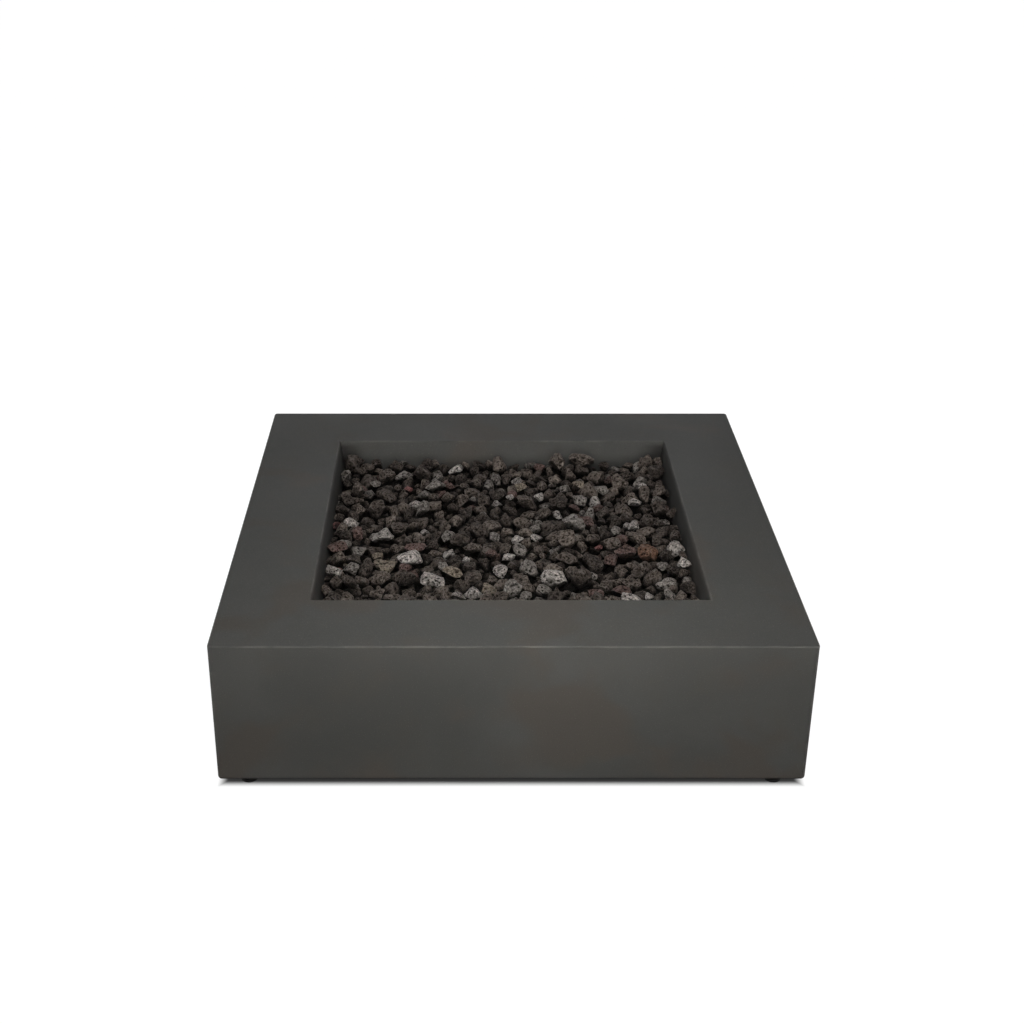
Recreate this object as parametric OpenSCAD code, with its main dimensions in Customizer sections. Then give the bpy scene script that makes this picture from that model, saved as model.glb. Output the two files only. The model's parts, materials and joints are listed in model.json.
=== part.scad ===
// Low square fire table. A hollow concrete casting stands on four levelling feet, and its
// well holds a drop-in burner pan covered with lava rock. The gas controls sit in a recess
// in the back.
// Millimetres. The origin is on the floor under the middle of the table:
// +X is right, +Y is the back with the controls, +Z is up.

/* [Casting] */
// Width of the casting, side to side
table_w = 1295; // [1150:5:1500]
// Depth of the casting, front to back
table_d = 1295; // [1150:5:1500]
// Height of the casting
casting_h = 342; // [300:1:450]
// Thickness of the four outer walls
skirt_t = 18; // [14:0.5:24]
// Thickness of the top
top_t = 20; // [15:0.5:30]
// Radius of the upright corners
corner_r = 9; // [8:0.5:30]
// Radius of the top edges
top_edge_r = 3; // [1:0.5:7]
// Radius of the bottom edges
bottom_edge_r = 8; // [2:0.5:12]

/* [Fire well] */
// Width of the well's mouth
well_w = 892; // [760:2:980]
// Depth of the well's mouth, front to back
well_d = 892; // [760:2:980]
// Depth from the rim down to the ledge
well_depth = 98; // [80:1:115]
// Lean of the well's walls from upright, in degrees
well_lean = 11; // [4:0.5:16]
// Thickness of the well's walls
well_wall_t = 18; // [14:0.5:24]
// Width of the ledge that carries the pan
ledge_w = 34; // [24:1:50]
// Thickness of the ledge
ledge_t = 22; // [15:1:32]
// Bevel round the well's mouth
rim_bevel = 2; // [0.5:0.5:5]

/* [Feet] */
// Distance from a side face to the middle of a foot
foot_side = 65.5; // [50:0.5:120]
// Distance from the front or back face to the middle of a foot
foot_edge = 30.5; // [28:0.5:80]
// Diameter of a foot's pad
pad_d = 37; // [26:0.5:48]
// Height of a foot's pad
pad_h = 9; // [7:0.5:16]
// Diameter of a foot's stud
stud_d = 12; // [8:0.5:14]
// Length of a foot's stud above its hexagon
stud_l = 28; // [24:1:34]
// Width across the flats of the stud's hexagon
stud_af = 17; // [15:0.5:24]
// Height of the stud's hexagon
stud_hex_h = 5.5; // [4:0.5:9]
// Thread showing between the hexagon and the casting
thread_show = 1.2; // [0.8:0.2:12]
// Outer diameter of a cast-in insert
insert_d = 18; // [17:0.5:24]
// Length of a cast-in insert
insert_l = 32; // [30:1:50]
// Width of the boss cast round an insert
boss_w = 72; // [50:1:110]
// Height of the boss cast round an insert
boss_h = 60; // [54:1:90]

/* [Burner pan] */
// Sheet thickness of the pan
pan_sheet = 1.5; // [1:0.1:3]
// Depth of the pan, flange top to floor
pan_depth = 34; // [28:1:60]
// Gap between the pan's flange and the well's wall
flange_gap = 3; // [1:0.5:8]
// Gap between the pan's basin and the ledge's edge
basin_gap = 2; // [1:0.5:6]
// Diameter of a drain hole
drain_d = 9; // [5:0.5:14]
// Distance from the basin's walls to a drain hole
drain_inset = 45; // [30:1:65]

/* [Burner] */
// Diameter of the outer ring, at the middle of its tube
ring_outer = 600; // [480:5:620]
// Diameter of the inner ring, at the middle of its tube
ring_inner = 300; // [240:5:330]
// Diameter of the ring tube
tube_d = 22; // [20:0.5:25]
// Wall of the ring and cross tubes
tube_wall = 1.5; // [1:0.1:2.5]
// Diameter of the cross tube
arm_d = 18; // [12:0.5:19]
// Height of the tubes' middle over the pan's floor
tube_lift = 22; // [18:0.5:40]
// Diameter of a gas port
port_d = 3; // [2:0.1:5]
// Gas ports on the outer ring
outer_ports = 40; // [16:4:60]
// Gas ports on the inner ring
inner_ports = 20; // [12:4:32]
// Diameter of the burner's hub
hub_d = 38; // [32:1:50]
// Height of the burner's hub
hub_h = 33; // [30:0.5:44]
// Width of a saddle under the outer ring
saddle_w = 26; // [16:1:40]
// Sheet thickness of a saddle
saddle_t = 2; // [1.5:0.1:3]

/* [Gas train] */
// Outer diameter of the nipple under the hub
nipple_d = 21.3; // [17:0.1:26]
// Wall of the nipple
nipple_wall = 2.6; // [1.5:0.1:4]
// Depth of the sockets that take the nipple
nipple_socket = 12; // [8:0.5:16]
// Width across the flats of the pan's locknut
locknut_af = 34; // [32:0.5:44]
// Height of the pan's locknut
locknut_h = 10; // [6:0.5:14]
// Diameter of the air mixer
mixer_d = 30; // [29:0.5:40]
// Length of the air mixer
mixer_l = 68; // [62:1:90]
// Diameter of the mixer's foot
mixer_foot_d = 36; // [35:0.5:46]
// Height of the mixer's foot
mixer_foot_h = 8; // [5:0.5:10]
// Diameter of the mixer's bore
mixer_bore = 20; // [16:0.5:22]
// Width of an air window
air_window_w = 14; // [8:0.5:17]
// Height of an air window
air_window_h = 20; // [12:0.5:24]
// Thickness of the air shutter
shutter_t = 2; // [1.5:0.1:2.4]
// Height of the air shutter
shutter_h = 30; // [26:0.5:38]
// Diameter of the gas orifice
orifice_d = 2.2; // [1.2:0.1:4]
// Diameter of the hose
hose_d = 12; // [9:0.5:12.5]
// Bend radius of the hose
hose_bend = 58; // [48:1:64]
// Length of a hose nut
hose_nut_l = 20; // [16:0.5:26]
// Width across the flats of a hose nut
hose_nut_af = 19; // [18.5:0.5:26]
// Diameter of the spigots that the hose nuts screw on to
spigot_d = 14; // [13.5:0.1:15.5]
// Length of the spigots that the hose nuts screw on to
spigot_l = 10; // [9:0.5:14]

/* [Pilot] */
// Place of the pilot to the right of the middle
pilot_x = 40; // [34:1:60]
// Place of the pilot behind the middle
pilot_y = 225; // [215:1:235]
// Width of the pilot's base
pilot_w = 56; // [50:1:60]
// Depth of the pilot's base, front to back
pilot_d = 34; // [26:1:38]
// Height of the pilot's hood
hood_h = 30; // [24:0.5:32]
// Distance between the electrode and the thermocouple
pilot_pair = 24; // [18:1:28]
// Diameter of the electrode's ceramic sleeve
sleeve_d = 7; // [5:0.5:9]
// Diameter of the thermocouple's probe
probe_d = 6; // [4:0.5:8]
// Diameter of the ignition lead
spark_lead_d = 4; // [3:0.5:5]
// Diameter of the thermocouple's lead
probe_lead_d = 3; // [2:0.5:4]

/* [Controls] */
// Height of the controls' middle over the casting's bottom edge
control_h = 114; // [100:1:130]
// Width of the window in the back
window_w = 260; // [246:2:340]
// Height of the window in the back
window_h = 96; // [80:1:110]
// Depth of the tray behind the skirt
tray_depth = 34; // [30:0.5:60]
// Sheet thickness of the tray
tray_sheet = 1.5; // [1:0.1:2.5]
// Width of the tray's flange
tray_flange = 22; // [18:0.5:40]
// Diameter of a tray screw
screw_d = 5; // [4:0.5:6]
// Depth of a tray screw in the skirt
screw_in = 12; // [8:0.5:13]
// Distance of the igniter and the gas inlet from the knob
control_pitch = 80; // [70:1:95]

/* [Valve and knob] */
// Width and height of the valve's body
valve_w = 40; // [34:1:50]
// Length of the valve's body
valve_l = 65; // [62:1:90]
// Diameter of the valve's plug
plug_d = 18; // [14:0.5:22]
// Length of the valve's plug
plug_l = 40; // [36:1:50]
// Depth of the gas port behind the front of the valve's body
port_depth = 33; // [30:0.5:36]
// Diameter of the gas passages in the valve
passage_d = 6; // [4:0.5:7]
// Thickness of the bonnet's flange
bonnet_t = 4; // [3:0.5:8]
// Diameter of the bonnet's neck
neck_d = 14; // [12:0.5:18]
// Length of the bonnet's neck in front of the tray
neck_l = 8; // [7:0.5:12]
// Width across the flats of the bonnet's nut
neck_nut_af = 22; // [21.5:0.5:28]
// Thickness of the bonnet's nut
neck_nut_t = 4.5; // [3:0.5:6]
// Diameter of the stem
stem_d = 8; // [6:0.5:9]
// Thickness of the stem's tang
tang_t = 3; // [2:0.1:4]
// Depth of the plug's slot for the tang
slot_l = 12; // [9:0.5:16]
// How far the knob is pressed in to light
press_travel = 4; // [2:0.5:5]
// Diameter of the knob
knob_d = 44; // [38:0.5:52]
// Height of the knob
knob_h = 24; // [21:0.5:34]
// Wall of the knob's skirt
knob_wall = 2.5; // [1.5:0.1:4]
// Thickness of the knob's face
knob_face = 6; // [4:0.5:9]
// Diameter of the knob's hub
knob_hub_d = 15; // [13:0.5:20]
// Finger flutes round the knob
knob_flutes = 14; // [8:1:20]

/* [Gas inlet] */
// Outer diameter of the inlet's thread
inlet_d = 15.9; // [12.7:0.1:19]
// Length of the inlet's thread
inlet_l = 16; // [10:0.5:18]
// Width across the flats of the inlet's hexagon and nut
inlet_af = 24; // [23.5:0.5:30]
// Thickness of the inlet's hexagon and nut
inlet_hex_t = 5; // [4:0.5:7]
// Bore of the inlet
inlet_bore = 7; // [5:0.5:8]
// Outer diameter of the inlet pipe
pipe_d = 8; // [6:0.5:10]
// Bend radius of the inlet pipe
pipe_bend = 20; // [16:0.5:24]

/* [Igniter] */
// Diameter of the igniter's barrel
barrel_d = 26; // [24:0.5:34]
// Length of the igniter's barrel
barrel_l = 66; // [60:1:80]
// Diameter of the igniter's shoulder
shoulder_d = 32; // [29:0.5:40]
// Diameter of the igniter's neck
igniter_neck_d = 22; // [21:0.5:24]
// Length of the igniter's neck in front of the tray
igniter_neck_l = 10; // [8:0.5:14]
// Thickness of the igniter's ring nut
ring_nut_t = 4; // [2.5:0.5:6]
// Diameter of the igniter's cap
cap_d = 28; // [27:0.5:34]
// Thickness of the cap's front
cap_face = 5; // [3:0.5:8]
// Diameter of the igniter's button
button_d = 14; // [10:0.5:15]
// How far the button stands out of the cap
button_out = 6; // [5:0.5:10]
// How far the button is pressed in
button_travel = 4; // [2:0.5:4.5]
// Diameter of the battery
battery_d = 10.5; // [10:0.1:14.5]
// Length of the battery
battery_l = 44.5; // [40:0.5:50.5]

/* [Lava rock] */
// Spacing of the stones on top
stone_pitch = 43; // [40:1:60]
// Mean height of the stones on top
stone_h = 36; // [28:1:50]
// How much the tops of the stones rise and fall
stone_rise = 6; // [0:0.5:9]
// Spacing of the stones round the burner
low_stone_pitch = 50; // [46:1:70]
// How far a stone may sit from its place, as a share of the spacing
stone_scatter = 0.22; // [0:0.01:0.24]
// How far alternate rows of stones are shifted, as a share of the spacing
row_shift = 0.18; // [0:0.01:0.2]

/* [Hidden] */
$fn = 64;

// Clearances
running = 0.05;
screw_fit = 0.1;
seat_gap = 0.3;
hole_gap = 0.2;
stone_gap = 0.4;
spare = 1;
over = 1;

// Colours
concrete_grey = "#4b4a47";
stone_grey = "#3c3935";
stone_dark = "#2b2927";
steel_grey = "#8d8f91";
pan_black = "#2e2d2c";
brass_yellow = "#b8963e";
plastic_black = "#1c1c1d";
rubber_black = "#161617";
ceramic_white = "#e6e2d8";
copper_red = "#a8643c";

// Levels
floor_gap = pad_h + seat_gap + stud_hex_h + thread_show;
z_base = floor_gap;
z_rim = z_base + casting_h;
z_ledge = z_rim - well_depth;
z_flange = z_ledge + pan_sheet;
z_pan = z_flange - pan_depth;
z_pan_under = z_pan - pan_sheet;
z_tube = z_pan + tube_lift;
z_pilot = z_pan + hood_h;
z_stones = max(z_flange, z_tube + tube_d / 2, z_pan + hub_h, z_pilot) + seat_gap;
z_locknut = z_pan_under - locknut_h;
z_mixer_top = z_locknut - spare;
z_mixer = z_mixer_top - mixer_l;
z_jet_hex = z_mixer - mixer_foot_h;
z_jet_end = z_jet_hex - spigot_l;
z_control = z_base + control_h;

// Half widths
half_w = table_w / 2;
half_d = table_d / 2;
lean = tan(well_lean);
wall_across = well_wall_t / cos(well_lean);
ledge_x = well_w / 2 - well_depth * lean;
ledge_y = well_d / 2 - well_depth * lean;
hole_x = ledge_x - ledge_w;
hole_y = ledge_y - ledge_w;
basin_x = hole_x - basin_gap;
basin_y = hole_y - basin_gap;
foot_x = half_w - foot_side;
foot_y = half_d - foot_edge;

// Edge radii, limited by the corner and the wall
edge_top = min(top_edge_r, corner_r);
edge_bottom = min(bottom_edge_r, corner_r, skirt_t - spare);

// Inner faces of the skirts
x_skirt = half_w - skirt_t;
y_skirt = half_d - skirt_t;

// Depths of the control gear, from the tray's face at y_face
y_face = y_skirt - tray_depth;
y_back = y_face - tray_sheet;
y_body = y_back - bonnet_t;
y_valve_end = y_body - valve_l;
y_port = y_body - port_depth;
y_spigot = y_valve_end - spigot_l;
y_plug = y_body - spare;
y_slot = y_plug - slot_l;
y_neck = y_face + neck_l;
y_hub = y_neck + press_travel + spare;
y_knob = y_hub - neck_nut_t;
y_knob_face = y_knob + knob_h;
y_stem = y_knob_face - knob_face;
y_inlet_back = y_back - inlet_hex_t - spare;
y_igniter_neck = y_face + igniter_neck_l;
y_cap = y_face + ring_nut_t + seat_gap;
y_cap_face = y_igniter_neck + seat_gap + cap_face;
y_barrel_end = y_back - barrel_l;

// Widths that follow from a mating piece
tang_w = 2 * sqrt(pow(stem_d / 2, 2) - pow(tang_t / 2, 2)) - spare / 2;
bonnet_d = valve_w - 6;
shutter_in = mixer_d + 2 * screw_fit;
retainer_d = button_d + 4;
jet_d = mixer_bore - 2 * screw_fit;
flare_l = 4;
flare_d = inlet_d - 6;
pilot_hole_d = pilot_pair + max(sleeve_d, probe_d) + 2;
probe_boss_h = 8;
probe_boss_d = 10;
y_probe_boss = y_valve_end + probe_boss_d;
stone_wall_x = min(ledge_x, well_w / 2) - spare;
stone_wall_y = min(ledge_y, well_d / 2) - spare;
low_wall_x = basin_x - pan_sheet - spare;
low_wall_y = basin_y - pan_sheet - spare;
z_low = z_pan + seat_gap;
z_low_top = z_stones - 2 * seat_gap;

// Points on a round stretch of an outline
function arc(cx, cy, r, from, to, steps) =
    [for (i = [0:steps]) let (a = from + (to - from) * i / steps) [cx + r * cos(a), cy + r * sin(a)]];

function unit(v) = v / norm(v);

// A corner of a route, replaced by an arc of radius r
function bend(a, b, c, r, steps) =
    let (
        u = unit(a - b),
        v = unit(c - b),
        half = acos(max(-1, min(1, u * v))) / 2,
        middle = b + unit(u + v) * r / sin(half),
        start = b + u * r / tan(half) - middle,
        side = unit(unit(v - u) - start * (unit(v - u) * start) / (r * r)),
        sweep = 180 - 2 * half
    )
    [for (i = [0:steps]) let (t = sweep * i / steps) middle + start * cos(t) + side * r * sin(t)];

// A route through corner points, with every corner rounded
function route(corners, r, steps) = concat(
    [corners[0]],
    [for (i = [1:len(corners) - 2]) each bend(corners[i - 1], corners[i], corners[i + 1], r, steps)],
    [corners[len(corners) - 1]]);

// A round rod along a route that never runs along the reference direction
module rod(path, d, sides, reference) {
    last = len(path) - 1;
    ring = [for (i = [0:last])
        let (
            t = unit(path[min(i + 1, last)] - path[max(i - 1, 0)]),
            n = unit(cross(reference, t)),
            b = cross(t, n)
        )
        each [for (k = [0:sides - 1])
            path[i] + d / 2 * (n * cos(360 * k / sides) + b * sin(360 * k / sides))]];
    skin = [for (i = [0:last - 1], k = [0:sides - 1])
        let (p = i * sides + k, q = i * sides + (k + 1) % sides)
        each [[p, p + sides, q], [q, p + sides, q + sides]]];
    start_cap = [for (k = [1:sides - 2]) [0, k, k + 1]];
    end_cap = [for (k = [1:sides - 2]) [last * sides, last * sides + k + 1, last * sides + k]];
    polyhedron(points = ring, faces = concat(skin, start_cap, end_cap));
}

// A child that stands on +Z, laid along +Y from the point x, y, z
module along_y(x, y, z) {
    translate([x, y, z]) rotate([-90, 0, 0]) children();
}

module tube(outer, inner, h) {
    difference() {
        cylinder(d = outer, h = h);
        translate([0, 0, -over]) cylinder(d = inner, h = h + 2 * over);
    }
}

module hexagon(af, h) {
    cylinder(d = af / cos(30), h = h, $fn = 6);
}

module box(x0, x1, y0, y1, z0, z1) {
    translate([x0, y0, z0]) cube([x1 - x0, y1 - y0, z1 - z0]);
}

// A pyramid stump between two levels: half widths at the lower level, growing by lean
module stump(hx, hy, z0, z1, slope) {
    grow = (z1 - z0) * slope;
    long = 4 * max(hx, hy);
    intersection() {
        rotate([90, 0, 0]) translate([0, 0, -long / 2]) linear_extrude(long)
            polygon([[-hx, z0], [hx, z0], [hx + grow, z1], [-hx - grow, z1]]);
        rotate([90, 0, 90]) translate([0, 0, -long / 2]) linear_extrude(long)
            polygon([[-hy, z0], [hy, z0], [hy + grow, z1], [-hy - grow, z1]]);
    }
}

module at_feet() {
    for (sx = [-1, 1], sy = [-1, 1]) translate([sx * foot_x, sy * foot_y, 0]) children();
}

// The casting

// Section of a skirt's outer face, from a corner's axis outwards
function skirt_section() = concat(
    [[0, z_base]],
    arc(corner_r - edge_bottom, z_base + edge_bottom, edge_bottom, -90, 0, 8),
    arc(corner_r - edge_top, z_rim - edge_top, edge_top, 0, 90, 6),
    [[0, z_rim]]);

module skirt_side(reach, length) {
    translate([reach - corner_r, length / 2, 0]) rotate([90, 0, 0])
        linear_extrude(length) polygon(skirt_section());
}

module casting_block() {
    in_w = table_w - 2 * corner_r;
    in_d = table_d - 2 * corner_r;
    box(-in_w / 2, in_w / 2, -in_d / 2, in_d / 2, z_base, z_rim);
    for (k = [0:3])
        rotate(90 * k) skirt_side(k % 2 == 0 ? half_w : half_d, k % 2 == 0 ? in_d : in_w);
    for (k = [0:3])
        translate([(k == 0 || k == 3 ? 1 : -1) * in_w / 2, (k < 2 ? 1 : -1) * in_d / 2, 0])
            rotate(90 * k) rotate_extrude(angle = 90) polygon(skirt_section());
}

// The hollow under the top, less what stands in it
module casting_hollow() {
    z_under = z_ledge - ledge_t;
    drop = z_rim - z_under;
    difference() {
        box(-x_skirt, x_skirt, -y_skirt, y_skirt, z_base - over, z_rim - top_t);
        stump(well_w / 2 + wall_across - drop * lean, well_d / 2 + wall_across - drop * lean,
            z_under, z_rim, lean);
        foot_bosses();
    }
}

// Blocks in the corners of the hollow, round the feet's inserts
module foot_bosses() {
    x_in = foot_x - boss_w / 2;
    y_in = foot_y - boss_w / 2;
    for (mx = [0, 1], my = [0, 1]) mirror([mx, 0, 0]) mirror([0, my, 0])
        box(x_in, half_w, y_in, half_d, z_base - 2 * over, z_base + boss_h);
}

module concrete_shell() {
    color(concrete_grey) difference() {
        casting_block();
        casting_hollow();
        stump(ledge_x, ledge_y, z_ledge, z_rim + over, lean);
        stump(well_w / 2 - rim_bevel * lean, well_d / 2 - rim_bevel * lean,
            z_rim - rim_bevel, z_rim + over, 1);
        box(-hole_x, hole_x, -hole_y, hole_y, z_ledge - ledge_t - over, z_ledge + over);
        box(-window_w / 2, window_w / 2, y_skirt - over, half_d + over,
            z_control - window_h / 2, z_control + window_h / 2);
        at_feet() translate([0, 0, z_base - over])
            cylinder(d = insert_d + 2 * screw_fit, h = insert_l + over);
        at_tray_screws() along_y(0, y_skirt - over, 0)
            cylinder(d = screw_d + 2 * screw_fit, h = screw_in + over);
    }
}

// The feet

module foot_inserts() {
    color(brass_yellow) at_feet() translate([0, 0, z_base])
        tube(insert_d, stud_d + 2 * running, insert_l);
}

module foot_pad(sx, sy) {
    socket = pad_h / 2;
    color(rubber_black) translate([sx * foot_x, sy * foot_y, 0]) difference() {
        rotate_extrude() polygon(concat(
            [[0, 0]],
            arc(pad_d / 2 - 1.5, 1.5, 1.5, -90, 0, 4),
            arc(pad_d / 2 - 3, pad_h - 3, 3, 0, 90, 6),
            [[0, pad_h]]));
        translate([0, 0, pad_h - socket]) cylinder(d = stud_d + 2 * running, h = socket + over);
    }
}

module foot_stud(sx, sy) {
    foot_end = pad_h / 2 + screw_fit;
    z_hex = pad_h + seat_gap;
    stud_top = z_hex + stud_hex_h + thread_show + stud_l;
    color(steel_grey) translate([sx * foot_x, sy * foot_y, 0]) {
        translate([0, 0, foot_end]) cylinder(d = stud_d, h = stud_top - foot_end);
        translate([0, 0, z_hex]) hexagon(stud_af, stud_hex_h);
    }
}

module foot_pad_fl() { foot_pad(-1, -1); }
module foot_pad_fr() { foot_pad(1, -1); }
module foot_pad_bl() { foot_pad(-1, 1); }
module foot_pad_br() { foot_pad(1, 1); }
module foot_stud_fl() { foot_stud(-1, -1); }
module foot_stud_fr() { foot_stud(1, -1); }
module foot_stud_bl() { foot_stud(-1, 1); }
module foot_stud_br() { foot_stud(1, 1); }

// The burner pan

module burner_pan() {
    in_x = basin_x - pan_sheet;
    in_y = basin_y - pan_sheet;
    rim_x = ledge_x - flange_gap;
    rim_y = ledge_y - flange_gap;
    drain_x = in_x - drain_inset;
    drain_y = in_y - drain_inset;
    color(pan_black) difference() {
        union() {
            box(-rim_x, rim_x, -rim_y, rim_y, z_ledge, z_flange);
            box(-basin_x, basin_x, -basin_y, basin_y, z_pan_under, z_flange);
        }
        box(-in_x, in_x, -in_y, in_y, z_pan, z_flange + over);
        for (sx = [-1:1], sy = [-1:1]) if (sx != 0 || sy != 0)
            translate([sx * drain_x, sy * drain_y, z_pan_under - over])
                cylinder(d = drain_d, h = pan_sheet + 2 * over);
        translate([0, 0, z_pan_under - over])
            cylinder(d = nipple_d + 2 * hole_gap, h = pan_sheet + 2 * over);
        translate([pilot_x, pilot_y, z_pan_under - over])
            cylinder(d = pilot_hole_d, h = pan_sheet + 2 * over);
    }
}

// The burner

// A ring is closed by a weld, which lies clear of the cross tube and the ports.
// A port's own seam is turned off the ring's radius.
weld_at = 37;
port_turn = 30;

module ring_tube(d, across) {
    translate([0, 0, z_tube]) rotate(weld_at) rotate_extrude() translate([d / 2, 0]) circle(d = across);
}

module cross_tube(across) {
    translate([-ring_outer / 2, 0, z_tube]) rotate([0, 90, 0]) cylinder(d = across, h = ring_outer);
}

module gas_ports(ring, count) {
    for (k = [0:count - 1]) rotate(360 * (k + 0.5) / count)
        translate([ring / 2, 0, z_tube]) rotate(port_turn) cylinder(d = port_d, h = tube_d);
}

module burner_rings() {
    color(steel_grey) difference() {
        union() {
            ring_tube(ring_outer, tube_d);
            ring_tube(ring_inner, tube_d);
            cross_tube(arm_d);
            translate([0, 0, z_pan]) cylinder(d = hub_d, h = hub_h);
        }
        ring_tube(ring_outer, tube_d - 2 * tube_wall);
        ring_tube(ring_inner, tube_d - 2 * tube_wall);
        cross_tube(arm_d - 2 * tube_wall);
        translate([0, 0, z_pan - over]) cylinder(d = nipple_d + 2 * screw_fit, h = nipple_socket + over);
        translate([0, 0, z_pan]) cylinder(d = nipple_d - 2 * nipple_wall, h = tube_lift);
        gas_ports(ring_outer, outer_ports);
        gas_ports(ring_inner, inner_ports);
    }
}

module burner_saddles() {
    h = tube_lift - tube_d / 2 - screw_fit;
    across = tube_d;
    color(steel_grey) for (k = [0:3]) rotate(45 + 90 * k)
        translate([ring_outer / 2 - across / 2, saddle_w / 2, z_pan]) rotate([90, 0, 0])
            linear_extrude(saddle_w) difference() {
                square([across, h]);
                translate([saddle_t, -over]) square([across - 2 * saddle_t, h - saddle_t + over]);
            }
}

module burner_nipple() {
    z_low_end = z_mixer_top - nipple_socket;
    color(steel_grey) translate([0, 0, z_low_end])
        tube(nipple_d, nipple_d - 2 * nipple_wall, z_pan + nipple_socket - z_low_end);
}

module pan_locknut() {
    color(steel_grey) translate([0, 0, z_locknut]) difference() {
        hexagon(locknut_af, locknut_h);
        translate([0, 0, -over]) cylinder(d = nipple_d + 2 * screw_fit, h = locknut_h + 2 * over);
    }
}

// Two air windows, on opposite sides, through a wall out to the given reach
module air_windows(reach) {
    z_window = z_mixer + mixer_foot_h + (shutter_h - air_window_h) / 2 + screw_fit;
    box(-reach, reach, -air_window_w / 2, air_window_w / 2, z_window, z_window + air_window_h);
}

module air_mixer() {
    throat = nipple_d - 2 * nipple_wall;
    color(brass_yellow) difference() {
        translate([0, 0, z_mixer]) union() {
            cylinder(d = mixer_d, h = mixer_l);
            cylinder(d = mixer_foot_d, h = mixer_foot_h);
        }
        translate([0, 0, z_mixer - over])
            cylinder(d = mixer_bore, h = mixer_l - nipple_socket - over);
        translate([0, 0, z_mixer]) cylinder(d = throat, h = mixer_l);
        translate([0, 0, z_mixer_top - nipple_socket])
            cylinder(d = nipple_d + 2 * screw_fit, h = nipple_socket + over);
        air_windows(mixer_d);
    }
}

module air_shutter() {
    color(steel_grey) difference() {
        translate([0, 0, z_mixer + mixer_foot_h + screw_fit])
            tube(shutter_in + 2 * shutter_t, shutter_in, shutter_h);
        air_windows(mixer_d);
    }
}

module jet_holder() {
    inside = mixer_foot_h + 2;
    color(brass_yellow) difference() {
        union() {
            translate([0, 0, z_mixer]) cylinder(d = jet_d, h = inside);
            translate([0, 0, z_jet_hex]) hexagon(mixer_d, mixer_foot_h);
            translate([0, 0, z_jet_end]) cylinder(d = spigot_d, h = spigot_l + over);
        }
        translate([0, 0, z_jet_end - over])
            cylinder(d = passage_d, h = spigot_l + mixer_foot_h + inside - 2 * over);
        translate([0, 0, z_mixer]) cylinder(d = orifice_d, h = inside + over);
    }
}

// A nut over a spigot that ends at z = 0 and points down
module hose_nut() {
    lap = spigot_l - 2 * over;
    translate([0, 0, lap - hose_nut_l]) difference() {
        hexagon(hose_nut_af, hose_nut_l);
        translate([0, 0, -over]) cylinder(d = hose_d + 2 * hole_gap, h = hose_nut_l);
        translate([0, 0, hose_nut_l - lap]) cylinder(d = spigot_d + 2 * screw_fit, h = lap + over);
    }
}

module hose_nuts() {
    color(brass_yellow) {
        translate([0, 0, z_jet_end]) hose_nut();
        along_y(0, y_spigot, z_control) hose_nut();
    }
}

// The hose hangs from the jet, crosses under the pan and climbs to the valve
hose_lead = hose_nut_l;
hose_low = z_jet_end - hose_lead - hose_bend;
hose_climb = 40;
hose_route = [
    [0, 0, z_jet_end],
    [0, 0, hose_low],
    [0, y_spigot - hose_lead - 2 * hose_bend - hose_climb, hose_low],
    [0, y_spigot - hose_lead - hose_bend, z_control],
    [0, y_spigot, z_control]];

module burner_hose() {
    color(plastic_black) rod(route(hose_route, hose_bend, 8), hose_d, 12, [1, 0, 0]);
}

// The pilot

electrode_x = pilot_x + pilot_pair / 2;
probe_x = pilot_x - pilot_pair / 2;

module pilot_hood() {
    sheet = saddle_t;
    hood_w = pilot_w - 12;
    hood_d = pilot_d - 12;
    color(steel_grey) translate([pilot_x, pilot_y, z_pan]) difference() {
        union() {
            box(-pilot_w / 2, pilot_w / 2, -pilot_d / 2, pilot_d / 2, 0, sheet);
            box(-hood_w / 2, hood_w / 2, -hood_d / 2, hood_d / 2, 0, hood_h);
        }
        box(-hood_w / 2 + sheet, hood_w / 2 - sheet, -hood_d / 2 + sheet, hood_d / 2 - sheet,
            sheet, hood_h - sheet);
        box(-hood_w / 2 + 2 * sheet, hood_w / 2 - 2 * sheet, -hood_d, 0, hood_h / 2, hood_h - 2 * sheet);
        translate([pilot_pair / 2, 0, -over]) cylinder(d = sleeve_d + 2 * screw_fit, h = sheet + 2 * over);
        translate([-pilot_pair / 2, 0, -over]) cylinder(d = probe_d + 2 * screw_fit, h = sheet + 2 * over);
    }
}

pilot_tail = 8;
pilot_reach = hood_h - 10;

module spark_electrode() {
    tip_d = 2;
    color(ceramic_white) translate([electrode_x, pilot_y, z_pan_under - pilot_tail]) {
        cylinder(d = sleeve_d, h = pilot_tail + pan_sheet + pilot_reach - 6);
        cylinder(d = tip_d, h = pilot_tail + pan_sheet + pilot_reach);
    }
}

module thermocouple() {
    color(copper_red) translate([probe_x, pilot_y, z_pan_under - pilot_tail])
        cylinder(d = probe_d, h = pilot_tail + pan_sheet + pilot_reach);
}

lead_bend = 14;
z_lead = z_pan_under - pilot_tail - 2 * lead_bend;
z_probe_boss = z_control + valve_w / 2 + probe_boss_h;
terminal_l = 8;
y_terminal = y_barrel_end - terminal_l;

spark_route = [
    [electrode_x, pilot_y, z_pan_under - pilot_tail],
    [electrode_x, pilot_y, z_lead],
    [control_pitch, y_terminal - 6 * lead_bend, z_lead],
    [control_pitch, y_terminal - 2 * lead_bend, z_control],
    [control_pitch, y_terminal, z_control]];

probe_route = [
    [probe_x, pilot_y, z_pan_under - pilot_tail],
    [probe_x, pilot_y, z_lead],
    [0, y_probe_boss, z_lead],
    [0, y_probe_boss, z_probe_boss]];

module spark_lead() {
    color(rubber_black) rod(route(spark_route, lead_bend, 6), spark_lead_d, 8, [1, 0, 0]);
}

module thermocouple_lead() {
    color(copper_red) rod(route(probe_route, lead_bend, 6), probe_lead_d, 8, [1, 0, 0]);
}

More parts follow.
